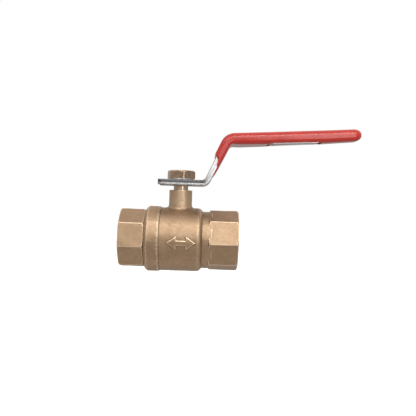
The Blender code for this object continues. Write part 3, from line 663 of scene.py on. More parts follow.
def build_body():
    skin = Skin()
    theta = angles_round(8, OUTLET_NORMAL, SPREAD, 3.9, [(168.0, 197.0, 0.76)])
    rows = body_rows()
    i0, i1 = even_span(rows, NECK_HOLE_X)
    j0, j1 = even_span(theta, np.radians(NECK_HOLE_ANGLES))
    skip = set(range(j0, j1))
    grid = []
    for x in rows:
        cast = 1.0 if RIM_X + 0.4 < x < HALF_LENGTH - 0.3 else 0.3
        grid.append(skin.ring(about_x(x, barrel_r(x, theta), theta), cast))
    for i in range(len(rows) - 1):
        skin.join(grid[i], grid[i + 1], CAST_SLOT, skip if i0 <= i < i1 else ())
    last = threaded_mouth(skin, grid[-1], theta, 1.0, barrel_r(HALF_LENGTH, theta))
    # inside: waterway, seat pocket, cavity with the hole under the neck
    rings = [last] + [skin.ring(about_x(x, r, theta))
                      for x, r in pocket_rows(10.6, 17.5)[:-1] + [(8.1, CAVITY_R)]]
    skin.stack(rings, FACED_SLOT)
    boundary = hole_boundary(grid, (i0, i1), (j0, j1))
    steps = len(boundary) // 4 - (j1 - j0)
    inner = [skin.ring(about_x(x, CAVITY_R, theta))
             for x in np.linspace(-CAVITY_X, CAVITY_X, steps + 1)]
    skin.join(rings[-1], inner[-1], FACED_SLOT)
    for a, b in zip(inner, inner[1:]):
        skin.join(a, b, FACED_SLOT, skip)
    after = rounded([(-CAVITY_X, CAVITY_R), (-15.0, CAVITY_R, 0), (RIM_X + 0.5, CAVITY_R, 0.1),
                     (RIM_X, CAVITY_R + 0.4, 0.1), (RIM_X, RIM_R)], 0.1, 2)[1:-1]
    after = [inner[0]] + [skin.ring(about_x(x, r, theta)) for x, r in after]
    skin.stack(after + [grid[0]], FACED_SLOT)
    build_neck(skin, boundary, hole_boundary(inner, (0, steps), (j0, j1)))
    body = skin.build("fine_valve_body", (CAST, FACED), CAST_UNEVEN)
    swap(body, stop_rib(), "UNION")
    co = mesh_arrays(body.data)[0] / MM
    near = np.clip((9.6 - np.hypot(co[:, 0], co[:, 1])) / 1.2, 0.0, 1.0)
    store(body.data, "clean", near * np.clip((co[:, 2] - 22.0) / 2.0, 0.0, 1.0))
    finish_piece(body, "valve", "valve_body")


def unwrapped(points):
    """Azimuths of ring points, falling steadily."""
    return np.unwrap(np.arctan2(points[:, 1], points[:, 0]))


def on_cylinder(radius, y):
    """Height of a cylinder about the pipe's axis at y."""
    return np.sqrt(radius ** 2 - y ** 2)


def build_neck(skin, boundary, inner_boundary):
    """The neck with its root fillet, stem chamber and bore, between the two openings."""
    every = np.concatenate(skin.points)
    outer = every[boundary]
    phi = unwrapped(outer)[::2]
    inner = every[inner_boundary]
    inner_phi = unwrapped(inner)
    inner_phi += round((phi[0] - inner_phi[0]) / math.tau) * math.tau
    even = phi[0] - math.tau * np.arange(len(phi)) / len(phi)
    start_xy = outer[::2, :2]
    foot_xy = (NECK_R + NECK_FILLET) * np.stack((np.cos(phi), np.sin(phi)), 1)
    rings = []
    for t in (0.35, 0.7, 1.0):
        xy = start_xy * (1 - t) + foot_xy * t
        rings.append(skin.ring(np.column_stack((xy, on_cylinder(BARREL_R, xy[:, 1]))), 1.0))
    skin.halve(boundary, rings[0])
    for b in np.radians((14, 28, 42, 56, 70, 82, 90)):
        r = NECK_R + NECK_FILLET * (1 - math.sin(b))
        z = on_cylinder(BARREL_R, r * np.sin(phi)) + NECK_FILLET * (1 - math.cos(b))
        rings.append(skin.ring(about_z(z, r, phi), 1.0))
    for t in (0.12, 0.3, 0.5, 0.7, 0.88, 1.0):
        angle = phi * (1 - t) + even * t
        foot = on_cylinder(BARREL_R, NECK_R * np.sin(angle)) + NECK_FILLET
        z = foot * (1 - t) + (NECK_TOP - 0.45) * t
        rings.append(skin.ring(about_z(z, NECK_R, angle), 1.0 - 0.6 * t))
    skin.stack(rings)
    top = rounded([(NECK_TOP - 0.45, NECK_R), (NECK_TOP, NECK_R, 0.4),
                   (NECK_TOP, CHAMBER_R + 0.3, 0.1), (NECK_TOP - 0.3, CHAMBER_R, 0.1),
                   (CHAMBER_FLOOR, CHAMBER_R, 0.2), (CHAMBER_FLOOR, STEM_BORE_R, 0.15),
                   (POCKET_TOP, STEM_BORE_R, 0.15), (POCKET_TOP, POCKET_R, 0.1),
                   (POCKET_LOW, POCKET_R)], 0.2, 4)
    down = [rings[-1]] + [skin.ring(about_z(z, r, even)) for z, r in top[1:]]
    for t in (0.35, 0.7, 1.0):
        angle = even * (1 - t) + inner_phi * t
        foot = on_cylinder(CAVITY_R, POCKET_R * np.sin(angle))
        down.append(skin.ring(about_z(POCKET_LOW * (1 - t) + foot * t, POCKET_R, angle)))
    foot_xy = POCKET_R * np.stack((np.cos(inner_phi), np.sin(inner_phi)), 1)
    for t in (0.33, 0.67):
        xy = foot_xy * (1 - t) + inner[:, :2] * t
        down.append(skin.ring(np.column_stack((xy, on_cylinder(CAVITY_R, xy[:, 1])))))
    skin.stack(down + [inner_boundary], FACED_SLOT)


def stop_rib():
    """The cast rib behind the neck whose tip reaches into the lever's slot."""
    outline = np.array(rounded([(6.6, 17.5), (13.0, 17.5), (10.2, NECK_TOP, 1.5), (9.6, 36.4, 1.0),
                                (9.6, 41.0, 0.4), (7.8, 41.0, 0.4), (7.8, 33.4, 0.3),
                                (6.6, 33.4, 0.2)], 0.2, 4, True))
    toward = np.array((9.0, 29.0)) - outline
    pull = np.clip(np.abs(toward) / 1.2, 0.0, 1.0) * np.sign(toward)
    skin = Skin()
    rings = []
    for x, inset in ((-2.5, 0.42), (-2.42, 0.14), (-2.08, 0.0), (0.0, 0.0), (2.08, 0.0),
                     (2.42, 0.14), (2.5, 0.42)):
        flat = outline + pull * inset
        rings.append(skin.ring(np.column_stack((np.full(len(flat), x), flat)), 0.6))
    skin.tube(rings)
    return skin.build("stop_rib", (CAST,), 0.1)


# ---- End cap
SPIGOT_R = 19.0


def build_end_cap():
    """The inlet octagon and the spigot that screws into the body."""
    skin = Skin()
    theta = angles_round(8, CAP_NORMAL, SPREAD, 4.5)
    start, end = -CAP_X, HALF_LENGTH
    spans = [start + d for d in (0.0, 0.05, 0.12, 0.22, 0.34, 0.5, 0.75, 1.0, 1.3, 1.6, 2.2)]
    rows = with_gaps(spans + [end - d for d in END_ROWS], 2.0)
    spigot = rounded([(12.5, 18.0), (12.5, 18.55, 0.2), (12.95, SPIGOT_R, 0.2),
                      (20.6, SPIGOT_R, 0.1), (20.6, 17.3, 0.1), (22.6, 17.3, 0.1),
                      (22.6, SPIGOT_R, 0.1), (start, SPIGOT_R)], 0.1, 3)
    rings = [skin.ring(about_x(-x, r, theta)) for x, r in spigot]
    first = octagon_r(start, theta, start, end, CAP_NORMAL)
    rings.append(skin.ring(about_x(-start, 0.5 * (first + SPIGOT_R), theta)))
    skin.stack(rings, FACED_SLOT)
    outside = [rings[-1]]
    for x in rows:
        r = octagon_r(x, theta, start, end, CAP_NORMAL)
        cast = 1.0 if start + 0.3 < x < end - 0.3 else 0.3
        outside.append(skin.ring(about_x(-x, r, theta), cast))
    skin.stack(outside, CAST_SLOT)
    outline = octagon_r(end, theta, start, end, CAP_NORMAL)
    last = threaded_mouth(skin, outside[-1], theta, -1.0, outline)
    inside = [last] + [skin.ring(about_x(-x, r, theta)) for x, r in pocket_rows(12.5, 18.0)[:-1]]
    skin.stack(inside + [rings[0]], FACED_SLOT)
    cap = skin.build("fine_end_cap", (CAST, FACED), CAST_UNEVEN)
    finish_piece(cap, "valve", "end_cap")


# ---- Turned pieces
BALL_R, BALL_FLAT, SEAT_CONTACT_R = 18.5, 13.4, 18.8
STEM_R, STEM_SHOULDER, STEM_PITCH = 5.05, 38.8, 1.25
NUT_LOW, NUT_TOP, NUT_APOTHEM, NUT_NORMAL = 42.45, 48.2, 9.0, 12.7


def turned(name, profile, material, body, node, axis="z", steps=96, radius=0.12, arc=4,
           cut=None):
    """A closed profile of (along, out) points with soft corners, turned about an axis."""
    theta = np.linspace(0.0, math.tau, steps, endpoint=False)
    place = about_z if axis == "z" else about_x
    skin = Skin()
    rings = [skin.ring(place(along, out, theta))
             for along, out in rounded(profile, radius, arc, closed=True)]
    skin.stack(rings + rings[:1])
    obj = skin.build(name, (material,))
    if cut:
        swap(obj, cut, "DIFFERENCE")
    finish_piece(obj, body, node)


def box_cutter(name, low, high):
    bm = bmesh.new()
    bmesh.ops.create_cube(bm, size=1.0)
    size, middle = Vector(high) - Vector(low), (Vector(high) + Vector(low)) / 2
    bm.transform(Matrix.Scale(MM, 4) @ Matrix.Translation(middle) @ Matrix.Diagonal((*size, 1.0)))
    mesh = bpy.data.meshes.new(name)
    bm.to_mesh(mesh)
    bm.free()
    return linked(name, mesh)


def seat_profile(side):
    """Seat ring: hollowed to the ball in front, with a groove behind."""
    back, front, inner, outer = 17.2, 11.2, 13.0, 16.5
    contact = [(side * SEAT_CONTACT_R * math.cos(a), SEAT_CONTACT_R * math.sin(a), 0.0)
               for a in np.linspace(math.acos(front / SEAT_CONTACT_R),
                                    math.asin(inner / SEAT_CONTACT_R), 9)]
    return [(side * back, inner), (side * back, outer), (side * front, outer), *contact]


def build_ball():
    edge = math.acos(BALL_FLAT / BALL_R)
    arc = [(BALL_R * math.cos(a), BALL_R * math.sin(a), 0.0)
           for a in np.linspace(edge, math.pi - edge, 49)]
    bore = [(x, WATERWAY_R, 0.0) for x in (-8.0, -3.0, 3.0, 8.0)]
    profile = [(BALL_FLAT, WATERWAY_R, 0.25), *arc, (-BALL_FLAT, WATERWAY_R, 0.25), *bore]
    slot = box_cutter("ball_slot", (-3.3, -20.0, 14.0), (3.3, 20.0, 20.0))
    turned("fine_ball", profile, CHROME, "ball", "ball", "x", 128, 0.2, 3, cut=slot)


def washer_profile(inner, outer, low, high):
    return [(low, inner), (high, inner), (high, outer), (low, outer)]


def wire_profile(middle, along, wire):
    return [(along + wire * math.cos(a), middle + wire * math.sin(a), 0.0)
            for a in np.linspace(0, math.tau, 16, endpoint=False)]


def build_seals():
    """The O-rings and what is stacked round the stem inside the neck."""
    turned("fine_cap_seal", wire_profile(18.3, -21.6, 0.7), RUBBER, "valve", "cap_seal",
           "x")
    turned("fine_stem_o_ring", wire_profile(4.55, 25.05, 0.5), RUBBER, "lever", "stem_o_ring")
    turned("fine_thrust_washer", washer_profile(5.4, 6.2, 22.3, 23.3), PTFE, "valve",
           "stem_thrust_washer")
    key_slot = box_cutter("key_slot", (-10.0, -0.7, 33.1), (10.0, 0.7, NECK_TOP))
    for name, low, high, material, node, slot, cut in (
            ("fine_packing_lower", 26.8, 28.2, PTFE, "stem_packing_lower", "ptfe", None),
            ("fine_packing_upper", 28.5, 29.9, PTFE, "stem_packing_upper", "ptfe", None),
            ("fine_gland_follower", 30.2, 31.0, TURNED, "gland_follower", "turned_brass", None),
            ("fine_gland_nut", 31.3, 34.1, TURNED, "gland_nut", "turned_brass", key_slot)):
        turned(name, washer_profile(5.35, 6.3, low, high), material, "valve", node, cut=cut)


def stem_shape(z, r, theta):
    """The stem's thread above its shoulder, with two flats."""
    if z > STEM_SHOULDER - 0.05:
        depth = worm(np.full(theta.shape, z), theta, 39.6, 49.0, STEM_PITCH, 0.8, 0.5)
        r = np.where(r > 4.0, r - 0.42 * depth, r)
        r = smooth_min(r, 3.5 / np.maximum(np.abs(np.cos(theta)), 0.05), 0.1)
    return r


def build_stem():
    profile = [(48.5, 0.0), (47.9, 0.0, 0), (47.9, 4.3, 0.1), (47.4, 4.8, 0.1)]
    profile += [(z, 4.8, 0.0) for z in np.arange(47.3, 38.85, -0.12)]
    profile += [(STEM_SHOULDER, 4.8, 0.05), (STEM_SHOULDER, STEM_R, 0.1), (25.9, STEM_R, 0.1),
                (25.9, 3.75, 0.1), (24.2, 3.75, 0.1), (24.2, STEM_R, 0.1), (22.0, STEM_R, 0.1),
                (22.0, 6.2, 0.15), (19.7, 6.2, 0.15), (19.7, 0.0, 0), (19.0, 0.0)]
    theta = angles_round(4, 0.0, (1.0, 2.2), 4.0)
    skin = Skin()
    skin.tube([skin.ring(about_z(z, stem_shape(z, np.full(theta.shape, out), theta), theta))
               for z, out in rounded(profile, 0.1, 2)[1:-1] if out > 0.01])
    stem = skin.build("fine_stem", (TURNED,))
    swap(stem, box_cutter("tang", (-3.0, -5.2, 14.3), (3.0, 5.2, 20.5)), "UNION")
    finish_piece(stem, "lever", "stem")


def nut_shape(z, r, theta):
    """Hexagon with a chamfered crown above and a smaller chamfer below."""
    if NUT_LOW < z < NUT_TOP:
        reach = min(10.7, 8.75 + (NUT_TOP - z) / math.tan(math.radians(30)),
                    10.0 + (z - NUT_LOW))
    else:
        reach = 8.7
    hexagon = polygon_r(theta, 6, NUT_APOTHEM, 0.55, math.radians(NUT_NORMAL))
    return np.where(r > 7.0, smooth_min(smooth_min(hexagon, reach, 0.25), r, 0.1), r)


def build_nut():
    """Hexagon nut with a threaded bore."""
    theta = angles_round(6, NUT_NORMAL, (0.0, 0.6, 1.2, 1.9, 3.2, 6.0, 10.0), 5.0)
    skin = Skin()
    sides = (48.1, 47.95, 47.8, 47.6, 47.4, 47.2, 47.0, 46.7, 46.0, 45.0, 44.0, 43.4, 43.1, 42.85,
             42.65, 42.5)
    outside = [(NUT_TOP, 8.2), (NUT_TOP, 8.7), *((z, 11.0) for z in sides), (NUT_LOW, 9.2)]
    rings = [skin.ring(about_z(z, nut_shape(z, np.full(theta.shape, out), theta), theta))
             for z, out in outside]
    rings.append(skin.ring(about_z(NUT_LOW, 5.7, theta)))
    for z in np.arange(NUT_LOW + 0.5, 48.0, 0.14):
        depth = worm(np.full(theta.shape, z), theta, 42.6, 48.3, STEM_PITCH, 0.7, 0.7)
        rings.append(skin.ring(about_z(z, 5.1 + 0.38 * depth, theta)))
    rings += [skin.ring(about_z(NUT_TOP, r, theta)) for r in (5.55, 6.6)]
    skin.stack(rings + rings[:1])
    nut = skin.build("fine_lever_nut", (NUT_METAL,))
    finish_piece(nut, "lever", "lever_nut", 38.0)


def build_washer():
    """Split spring washer, its gap at the back."""
    section = rounded([(41.87, 5.15), (42.43, 5.15), (42.43, 9.15), (41.87, 9.15)], 0.15, 3, True)
    skin = Skin()
    skin.tube([skin.ring([(r * math.cos(angle), r * math.sin(angle), z) for z, r in section])
               for angle in np.linspace(math.radians(98), math.radians(98 + 352), 90)])
    finish_piece(skin.build("fine_lever_washer", (ZINC,)), "lever", "lever_washer")


# ---- Lever path
def bend(corner, angle_in, angle_out, radius, steps):
    """(x, z, slope) round a rounded corner of the path."""
    turn = angle_out - angle_in
    side = math.copysign(1.0, turn)
    setback = radius * math.tan(abs(turn) / 2)
    x = corner[0] - setback * math.cos(angle_in) - side * radius * math.sin(angle_in)
    z = corner[1] - setback * math.sin(angle_in) + side * radius * math.cos(angle_in)
    return [(x + side * radius * math.sin(a), z - side * radius * math.cos(a), a)
            for a in np.linspace(angle_in, angle_out, steps + 1)]


TEAR_LINE = -2.4                    # below the plate's top
CUT_LEVELS = (36.0, 44.0)
CORNER_X = RISE_FOOT_X + (GRIP_CORNER_Z - PLATE_TOP) / math.tan(RISE_ANGLE)


def path_table():
    """x, z and slope of the lever's top line against the length along it."""
    stations = [(PLATE_END_X, PLATE_TOP, 0.0)]
    stations += bend((RISE_FOOT_X, PLATE_TOP), 0.0, RISE_ANGLE, 3.0, 14)
    stations += bend((CORNER_X, GRIP_CORNER_Z), RISE_ANGLE, GRIP_ANGLE, 9.0, 16)
    end = SLEEVE_TIP_X + 2.0
    stations.append((end, GRIP_CORNER_Z + (end - CORNER_X) * math.tan(GRIP_ANGLE), GRIP_ANGLE))
    table = np.array(stations)
    step = np.hypot(np.diff(table[:, 0]), np.diff(table[:, 1]))
    return np.column_stack((np.concatenate(([0.0], np.cumsum(step))), table))


PATH = path_table()


def on_path(length):
    """x, z and slope at a length along the path."""
    return tuple(np.interp(length, PATH[:, 0], PATH[:, k]) for k in (1, 2, 3))


def length_at(x):
    return float(np.interp(x, PATH[:, 1], PATH[:, 0]))


def sized(table, x):
    return np.interp(x, table[:, 0], table[:, 1])


def placed(length, across, up):
    """Points square to the path at each length."""
    x, z, angle = on_path(length)
    return np.stack((x - up * np.sin(angle), np.broadcast_to(across, np.shape(x)),
                     z + up * np.cos(angle)), -1)


def channel(half, depth, inset=0.0):
    """The pressed sheet's section, from the right edge's foot over the top to the left's.

    A fine line runs along the side, where the sheared edge turns from smooth to torn.
    """
    inner, side = half - SHEET, half - inset
    right = [(inner + inset, -depth + inset, 0.3), (side, -depth + inset, 0.3), (side, -2.55, 0),
             (side - 0.1, TEAR_LINE, 0), (side, -2.25, 0), (side, -inset, 2.0)]
    left = [(-a, u, r) for a, u, r in reversed(right)]
    under = [(-inner - inset, -SHEET + inset, 0.7), (inner + inset, -SHEET + inset, 0.7)]
    return rounded(right + left + under, 0.3, 5, True)


def edge_drop_at(x):
    """Under the grip's opening the turned-down edges come flush with the coat."""
    share = np.clip((x - 61.0) / 2.0, 0.0, 1.0) * np.clip((95.6 - x) / 1.6, 0.0, 1.0)
    return share * (sized(UNDER_T, x) - 0.05)


def build_lever():
    """The pressed channel: stations of (length, cut off the half width, inset)."""
    tip = length_at(LEVER_TIP_X)
    end_r, tip_r = 3.5, 1.8
    stations = [(0.0, 3.6, 0.2)]
    for turn in np.linspace(0.0, math.pi / 2, 9):
        stations.append((end_r * (1 - math.cos(turn)), end_r * (1 - math.sin(turn)), 0.0))
    opening = [length_at(x) for x in (60.9, 61.5, 62.2, 63.1, 93.9, 94.8, 95.7)]
    middle = with_gaps(sorted({end_r, *PATH[1:-1, 0], *opening, tip - tip_r}), 3.0)
    stations += [(length, 0.0, 0.0) for length in middle[1:]]
    for turn in np.linspace(math.pi * 5 / 12, 0.0, 6):
        stations.append((tip - tip_r * (1 - math.cos(turn)), tip_r * (1 - math.sin(turn)), 0.0))
    skin = Skin()
    rings = []
    for length, cut, inset in stations:
        x = float(on_path(length)[0])
        depth = sized(EDGE_DEPTHS, x) + edge_drop_at(x)
        outline = channel(sized(HALF_WIDTHS, x) - cut, depth, inset)
        rings.append(skin.ring([placed(length, a, u) for a, u in outline]))
    skin.tube(rings)
    lever = skin.build("fine_lever", (ZINC,))
    swap(lever, stem_hole(), "DIFFERENCE")
    swap(lever, stop_slot(), "DIFFERENCE")
    mark_lever(lever.data)
    finish_piece(lever, "lever", "lever", 50.0)


def mark_lever(mesh):
    """Where the plate's sheared edge is painted dark (partly its smooth burnished zone, partly
    painted shade), where it is torn, and the grip's end, painted lighter against the shade in the
    coat's opening.
    """
    co, normal = mesh_arrays(mesh)
    co = co / MM
    plate = np.clip((18.5 - co[:, 0]) / 2.0, 0.0, 1.0)
    sideways = np.hypot(normal[:, 0] * (co[:, 0] < -12), normal[:, 1])
    edge = plate * np.clip((sideways - 0.35) / 0.2, 0.0, 1.0)
    edge *= np.where(normal[:, 1] * co[:, 1] > -0.1, 1.0, 0.0)
    up = co[:, 2] - PLATE_TOP - TEAR_LINE
    # This mask paints the upper sheared edge dark: partly the burnished zone, partly painted shade.
    store(mesh, "band", np.clip((up + 0.02) / 0.12, 0.0, 1.0) * edge)
    store(mesh, "shear", np.clip((0.02 - up) / 0.12, 0.0, 1.0) * edge)
    # Mask for the painted light on the grip's end, seen through the coat's opening.
    store(mesh, "painted_window_light", np.clip((co[:, 0] - 56.0) / 3.0, 0.0, 1.0))


def stem_hole():
    """Round hole with two flats."""
    theta = angles_round(4, 0.0, (1.0, 2.2), 5.0)
    r = np.minimum(5.1, 3.8 / np.maximum(np.abs(np.cos(theta)), 0.05))
    skin = Skin()
    skin.tube([skin.ring(about_z(z, r, theta)) for z in CUT_LEVELS])
    return skin.build("stem_hole", (ZINC,))


def stop_slot():
    """Quarter-round slot for the stop rib."""
    low, high = math.radians(70.5), math.radians(199.5)
    inner, outer, inner_steps, outer_steps = 7.4, 10.3, 23, 29
    points = [(r * math.cos(angle), r * math.sin(angle))
              for r, angles in ((outer, np.linspace(low, high, outer_steps + 1)),
                                (inner, np.linspace(high, low, inner_steps + 1)))
              for angle in angles]
    skin = Skin()
    rings = [skin.ring([(x, y, z) for x, y in points]) for z in CUT_LEVELS]
    skin.stack(rings)
    last = len(points) - 1
    for ring in rings:
        for i in range(outer_steps):
            c, d = (ring[last - round(k * inner_steps / outer_steps)] for k in (i, i + 1))
            corners = (ring[i], ring[i + 1], d, c)
            skin.face(corners[:3] if c == d else corners, CAST_SLOT)
    return skin.build("stop_slot", (ZINC,))


# ---- Grip sleeve
SIDE_T = 1.5                        # coat on the top and sides, and underneath against x
UNDER_T = np.array(((28, 0.8), (34, 1.5), (40, 1.75), (57, 1.65), (66, 1.35), (85, 1.1)), float)
TIP_LENGTH = 5.8
CORNER_STEPS, SIDE_STEPS = 13, 7    # points round a corner and on each straight side


def between(a, b):
    """Points at even steps between two points of an outline."""
    shares = [step / (SIDE_STEPS + 1) for step in range(1, SIDE_STEPS + 1)]
    return [tuple(p + (q - p) * share for p, q in zip(a, b)) for share in shares]


def coat_outline(half, top, bottom, top_r, bottom_r):
    """Points round a soft rectangle, the same number whatever its size. Arrays along the path."""
    points = []
    corners = ((1, top - top_r, top_r, 90.0), (1, bottom + bottom_r, bottom_r, 0.0),
               (-1, bottom + bottom_r, bottom_r, -90.0), (-1, top - top_r, top_r, -180.0))
    for side, centre_up, r, first in corners:
        for angle in np.radians(np.linspace(first, first - 90.0, CORNER_STEPS)):
            points.append((side * (half - r) + r * math.cos(angle),
                           centre_up + r * math.sin(angle)))
    a, b = CORNER_STEPS, 3 * CORNER_STEPS
    return (points[:a] + between(points[a - 1], points[a]) + points[a:b]
            + between(points[b - 1], points[b]) + points[b:])


def sleeve_point(k, length, start, inner=False, ramp=1.4):
    """A point of the coat at outline place k and a length along the path."""
    x = on_path(length)[0]
    half, depth = sized(HALF_WIDTHS, x), sized(EDGE_DEPTHS, x)
    steel = coat_outline(half + 0.02, 0.02, -depth - 0.02, 1.0, 0.35)[k]
    if inner:
        return steel
    under = sized(UNDER_T, x)
    tall = SIDE_T + depth + under
    coat = coat_outline(half + SIDE_T, SIDE_T, -depth - under, 0.54 * tall, 0.33 * tall)[k]
    rise = np.clip((length - start) / ramp, 0.0, 1.0)
    share = np.sqrt(1.0 - (1.0 - rise) ** 2)
    return tuple(s + (c - s) * share for s, c in zip(steel, coat))


def coat_start(across, up):
    """How far up the rise the coat starts at a place of the section, and how fast it thickens."""
    down = np.clip(-up / 4.4, 0.0, 1.0)
    low = np.clip((down - 0.955) / 0.04, 0.0, 1.0)
    dip = np.clip((down - 0.4) / 0.56, 0.0, 1.0)
    edge = 17.6 - 0.4 * math.sin(math.pi * min(1.0, down * 1.4)) - 1.6 * down ** 2
    edge -= 5.0 * dip ** 1.5 + 6.0 * low
    ripple = 0.35 * math.sin(2.1 * across + 0.7) + 0.25 * math.sin(0.9 * across)
    return edge + ripple * (1.0 if down < 0.05 else 0.4), 1.4 + 5.0 * low


def build_sleeve():
    """The dipped coat: outside from its edge to the tip, then back along the steel."""
    tip = length_at(SLEEVE_TIP_X)
    steel_tip = length_at(LEVER_TIP_X) + 0.3
    body_end = tip - TIP_LENGTH
    near = [0.0, 0.04, 0.12, 0.25, 0.45, 0.7, 1.0, 1.4, 2.0, 3.0]
    section = coat_outline(13.0, 0.0, -4.4, 1.9, 0.35)
    starts, ramps = np.array([coat_start(*place) for place in section]).T
    starts += length_at(RISE_FOOT_X)
    skin = Skin()

    def ring_at(lengths, inner=False):
        ring = []
        for k, length in enumerate(lengths):
            a, u = sleeve_point(k, length, starts[k], inner, ramps[k])
            ring.append(placed(length, a, u))
        return skin.ring(ring)

    rings = [ring_at(starts + step) for step in near]
    for share in with_gaps([0.0, 1.0], 0.018)[1:]:
        base = starts + near[-1]
        rings.append(ring_at(base + (body_end - base) * share))
    x = float(on_path(body_end)[0])
    middle_up = (SIDE_T - sized(EDGE_DEPTHS, x) - sized(UNDER_T, x)) / 2 + 0.5
    last_turn = math.radians(79)
    for turn in (*np.radians((12, 24, 36, 48, 60, 70)), last_turn):
        length = body_end + TIP_LENGTH * math.sin(turn) / math.sin(last_turn)
        ring = []
        for k in range(len(section)):
            a, u = sleeve_point(k, body_end, 0.0)
            up = middle_up + (u - middle_up) * math.cos(turn)
            ring.append(placed(length, a * math.cos(turn), up))
        rings.append(skin.ring(ring))
    skin.stack(rings)
    skin.cap(rings[-1])
    inner = [rings[0]]
    for share in with_gaps([0.0, 1.0], 0.03):
        base = starts + 0.4
        inner.append(ring_at(base + (steel_tip - base) * share, True))
    skin.stack(inner)
    skin.cap(inner[-1])
    sleeve = skin.build("fine_grip_sleeve", (RED,))
    swap(sleeve, grip_window(), "DIFFERENCE")
    finish_piece(sleeve, "lever", "grip_sleeve", 60.0)


def grip_window():
    """The opening under the grip, with round ends."""
    skin = Skin()
    rings = []
    low, high = length_at(59.0), length_at(97.0)
    ends = [(2.6 * (1 - math.cos(t)), 2.6 * (1 - math.sin(t)))
            for t in np.linspace(0.15, math.pi / 2, 6)]
    stations = [(low + run, cut) for run, cut in ends]
    stations += [(low + (high - low) * k / 6, 0.0) for k in range(1, 6)]
    stations += [(high - run, cut) for run, cut in reversed(ends)]
    for length, cut in stations:
        x = float(on_path(length)[0])
        half = sized(HALF_WIDTHS, x) + 0.05 - cut
        top = -sized(EDGE_DEPTHS, x) + 0.5
        rings.append(skin.ring([placed(length, a, u) for a, u in
                                ((half, top), (half, top - 5), (-half, top - 5), (-half, top))]))
    skin.tube(rings)
    return skin.build("grip_window", (RED,))


# ---- Build
build_body()
build_end_cap()
build_ball()
turned("fine_seat_inlet", seat_profile(-1), PTFE, "valve", "seat_ring_inlet", "x")
turned("fine_seat_outlet", seat_profile(1), PTFE, "valve", "seat_ring_outlet", "x")
build_stem()
build_nut()
build_washer()
build_lever()
build_sleeve()
build_seals()

# ---- Stage, light and camera
FLOOR_Z = -62.0 * MM
# brightness of the surroundings, from straight down (0) over the horizon (0.5) to overhead (1)
WORLD_LEVELS = ((0.005, 1.0), (0.05, 0.66), (0.30, 0.58), (0.5, 0.52), (0.62, 0.62), (0.85, 0.9),
                (0.98, 1.05))


def pale_stage():
    """A wide level floor of pale paper, lit on its own by a sun without shadow."""
    n = Nodes("pale_paper")
    soft = n.noise(60.0, 3.0)
    tone = n.mix(n.span(soft, 0.3, 0.7), (0.93, 0.93, 0.93), (0.95, 0.95, 0.95))
    material = n.set(base_color=tone, roughness=0.85, metallic=0.0, specular_ior_level=0.1)
    skin = Skin()
    theta = np.linspace(0.0, math.tau, 96, endpoint=False)
    rings = [skin.ring(about_z(0.0, r, theta)) for r in (300.0, 900.0, 1800.0, 3200.0)]
    skin.stack(rings)
    skin.cap(rings[0])
    floor = skin.build("stage_floor", (material,))
    floor.location.z = FLOOR_Z
    floor.data.shade_smooth()
    floor.visible_glossy = False
    floor.visible_diffuse = False
    light_for = bpy.data.collections.new("floor_light_reaches")
    light_for.objects.link(floor)
    data = bpy.data.lights.new("floor_wash", "SUN")
    data.energy = 1.6
    data.use_shadow = False
    linked("floor_wash", data).light_linking.receiver_collection = light_for


def soft_light(name, azimuth, elevation, distance, size, radiance, tint=(1.0, 1.0, 1.0),
               target=(0.03, 0.0, 0.02)):
    """A rectangular softbox of even radiance. Azimuth 0 is the front."""
    data = bpy.data.lights.new(name, "AREA")
    data.shape = "RECTANGLE"
    data.size, data.size_y = size
    data.color = tint
    data.energy = radiance * math.pi * size[0] * size[1]
    obj = linked(name, data)
    a, e = math.radians(azimuth), math.radians(elevation)
    out = Vector((math.sin(a) * math.cos(e), -math.cos(a) * math.cos(e), math.sin(e)))
    obj.location = Vector(target) + out * distance
    obj.rotation_euler = (-out).to_track_quat("-Z", "Y").to_euler()


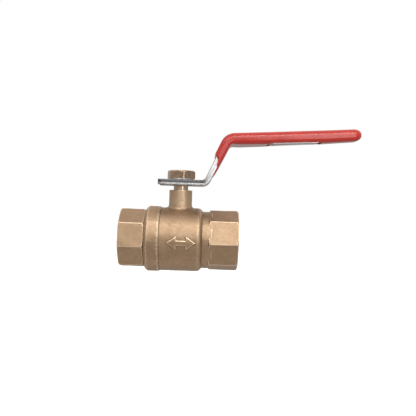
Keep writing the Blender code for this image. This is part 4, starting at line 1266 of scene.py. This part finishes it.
def set_world():
    """Even studio surroundings, lighter overhead; the backdrop itself is white."""
    world = bpy.data.worlds.new("studio")
    bpy.context.scene.world = world
    world.use_nodes = True
    tree = world.node_tree
    background = tree.nodes["Background"]
    place = tree.nodes.new("ShaderNodeTexCoord")
    split = tree.nodes.new("ShaderNodeSeparateXYZ")
    tree.links.new(place.outputs["Generated"], split.inputs[0])
    ramp = tree.nodes.new("ShaderNodeValToRGB")
    lift = tree.nodes.new("ShaderNodeMapRange")
    lift.inputs["From Min"].default_value = -1.0
    tree.links.new(split.outputs["Z"], lift.inputs["Value"])
    tree.links.new(lift.outputs["Result"], ramp.inputs["Fac"])
    stops = ramp.color_ramp.elements
    for place_at, level in WORLD_LEVELS:
        stop = stops.new(place_at)
        stop.color = (level, 0.94 * level, 0.915 * level, 1.0)
    stops.remove(stops[0])
    stops.remove(stops[-1])
    seen = tree.nodes.new("ShaderNodeLightPath")
    mix = tree.nodes.new("ShaderNodeMix")
    mix.data_type = "RGBA"
    tree.links.new(seen.outputs["Is Camera Ray"], mix.inputs["Factor"])
    tree.links.new(ramp.outputs["Color"], mix.inputs[6])
    mix.inputs[7].default_value = (1.0, 1.0, 1.0, 1.0)
    tree.links.new(mix.outputs[2], background.inputs["Color"])


def set_camera():
    data = bpy.data.cameras.new("camera")
    data.sensor_width = 36.0
    data.lens = 47.25
    data.clip_start, data.clip_end = 0.01, 20.0
    camera = linked("camera", data)
    lean = 0.0323                   # radians, nearly
    camera.matrix_world = (Matrix.Translation((19.5 * MM, -385.0 * MM, 22.55 * MM))
                           @ Matrix(((1, 0, -lean, 0), (0, 1, 0, 0), (lean, 0, 1, 0), (0, 0, 0, 1)))
                           @ Matrix.Rotation(math.pi / 2, 4, "X"))
    camera.rotation_euler = camera.matrix_world.to_euler()
    camera.scale = (1.0, 1.0, 1.0)
    bpy.context.scene.camera = camera


pale_stage()
set_world()
soft_light("front_softbox", -6.0, 30.0, 0.75, (0.50, 0.62), 1.95, (0.975, 1.0, 0.98))
soft_light("right_strip", 28.0, 28.0, 0.70, (0.22, 0.75), 3.7, (0.98, 1.0, 0.98))
soft_light("long_strip", 0.0, 53.0, 0.72, (1.3, 0.03), 15.0, target=(0.07, 0.0, 0.06))
set_camera()
bpy.context.scene.view_settings.view_transform = "Standard"
bpy.context.scene.view_settings.look = "None"
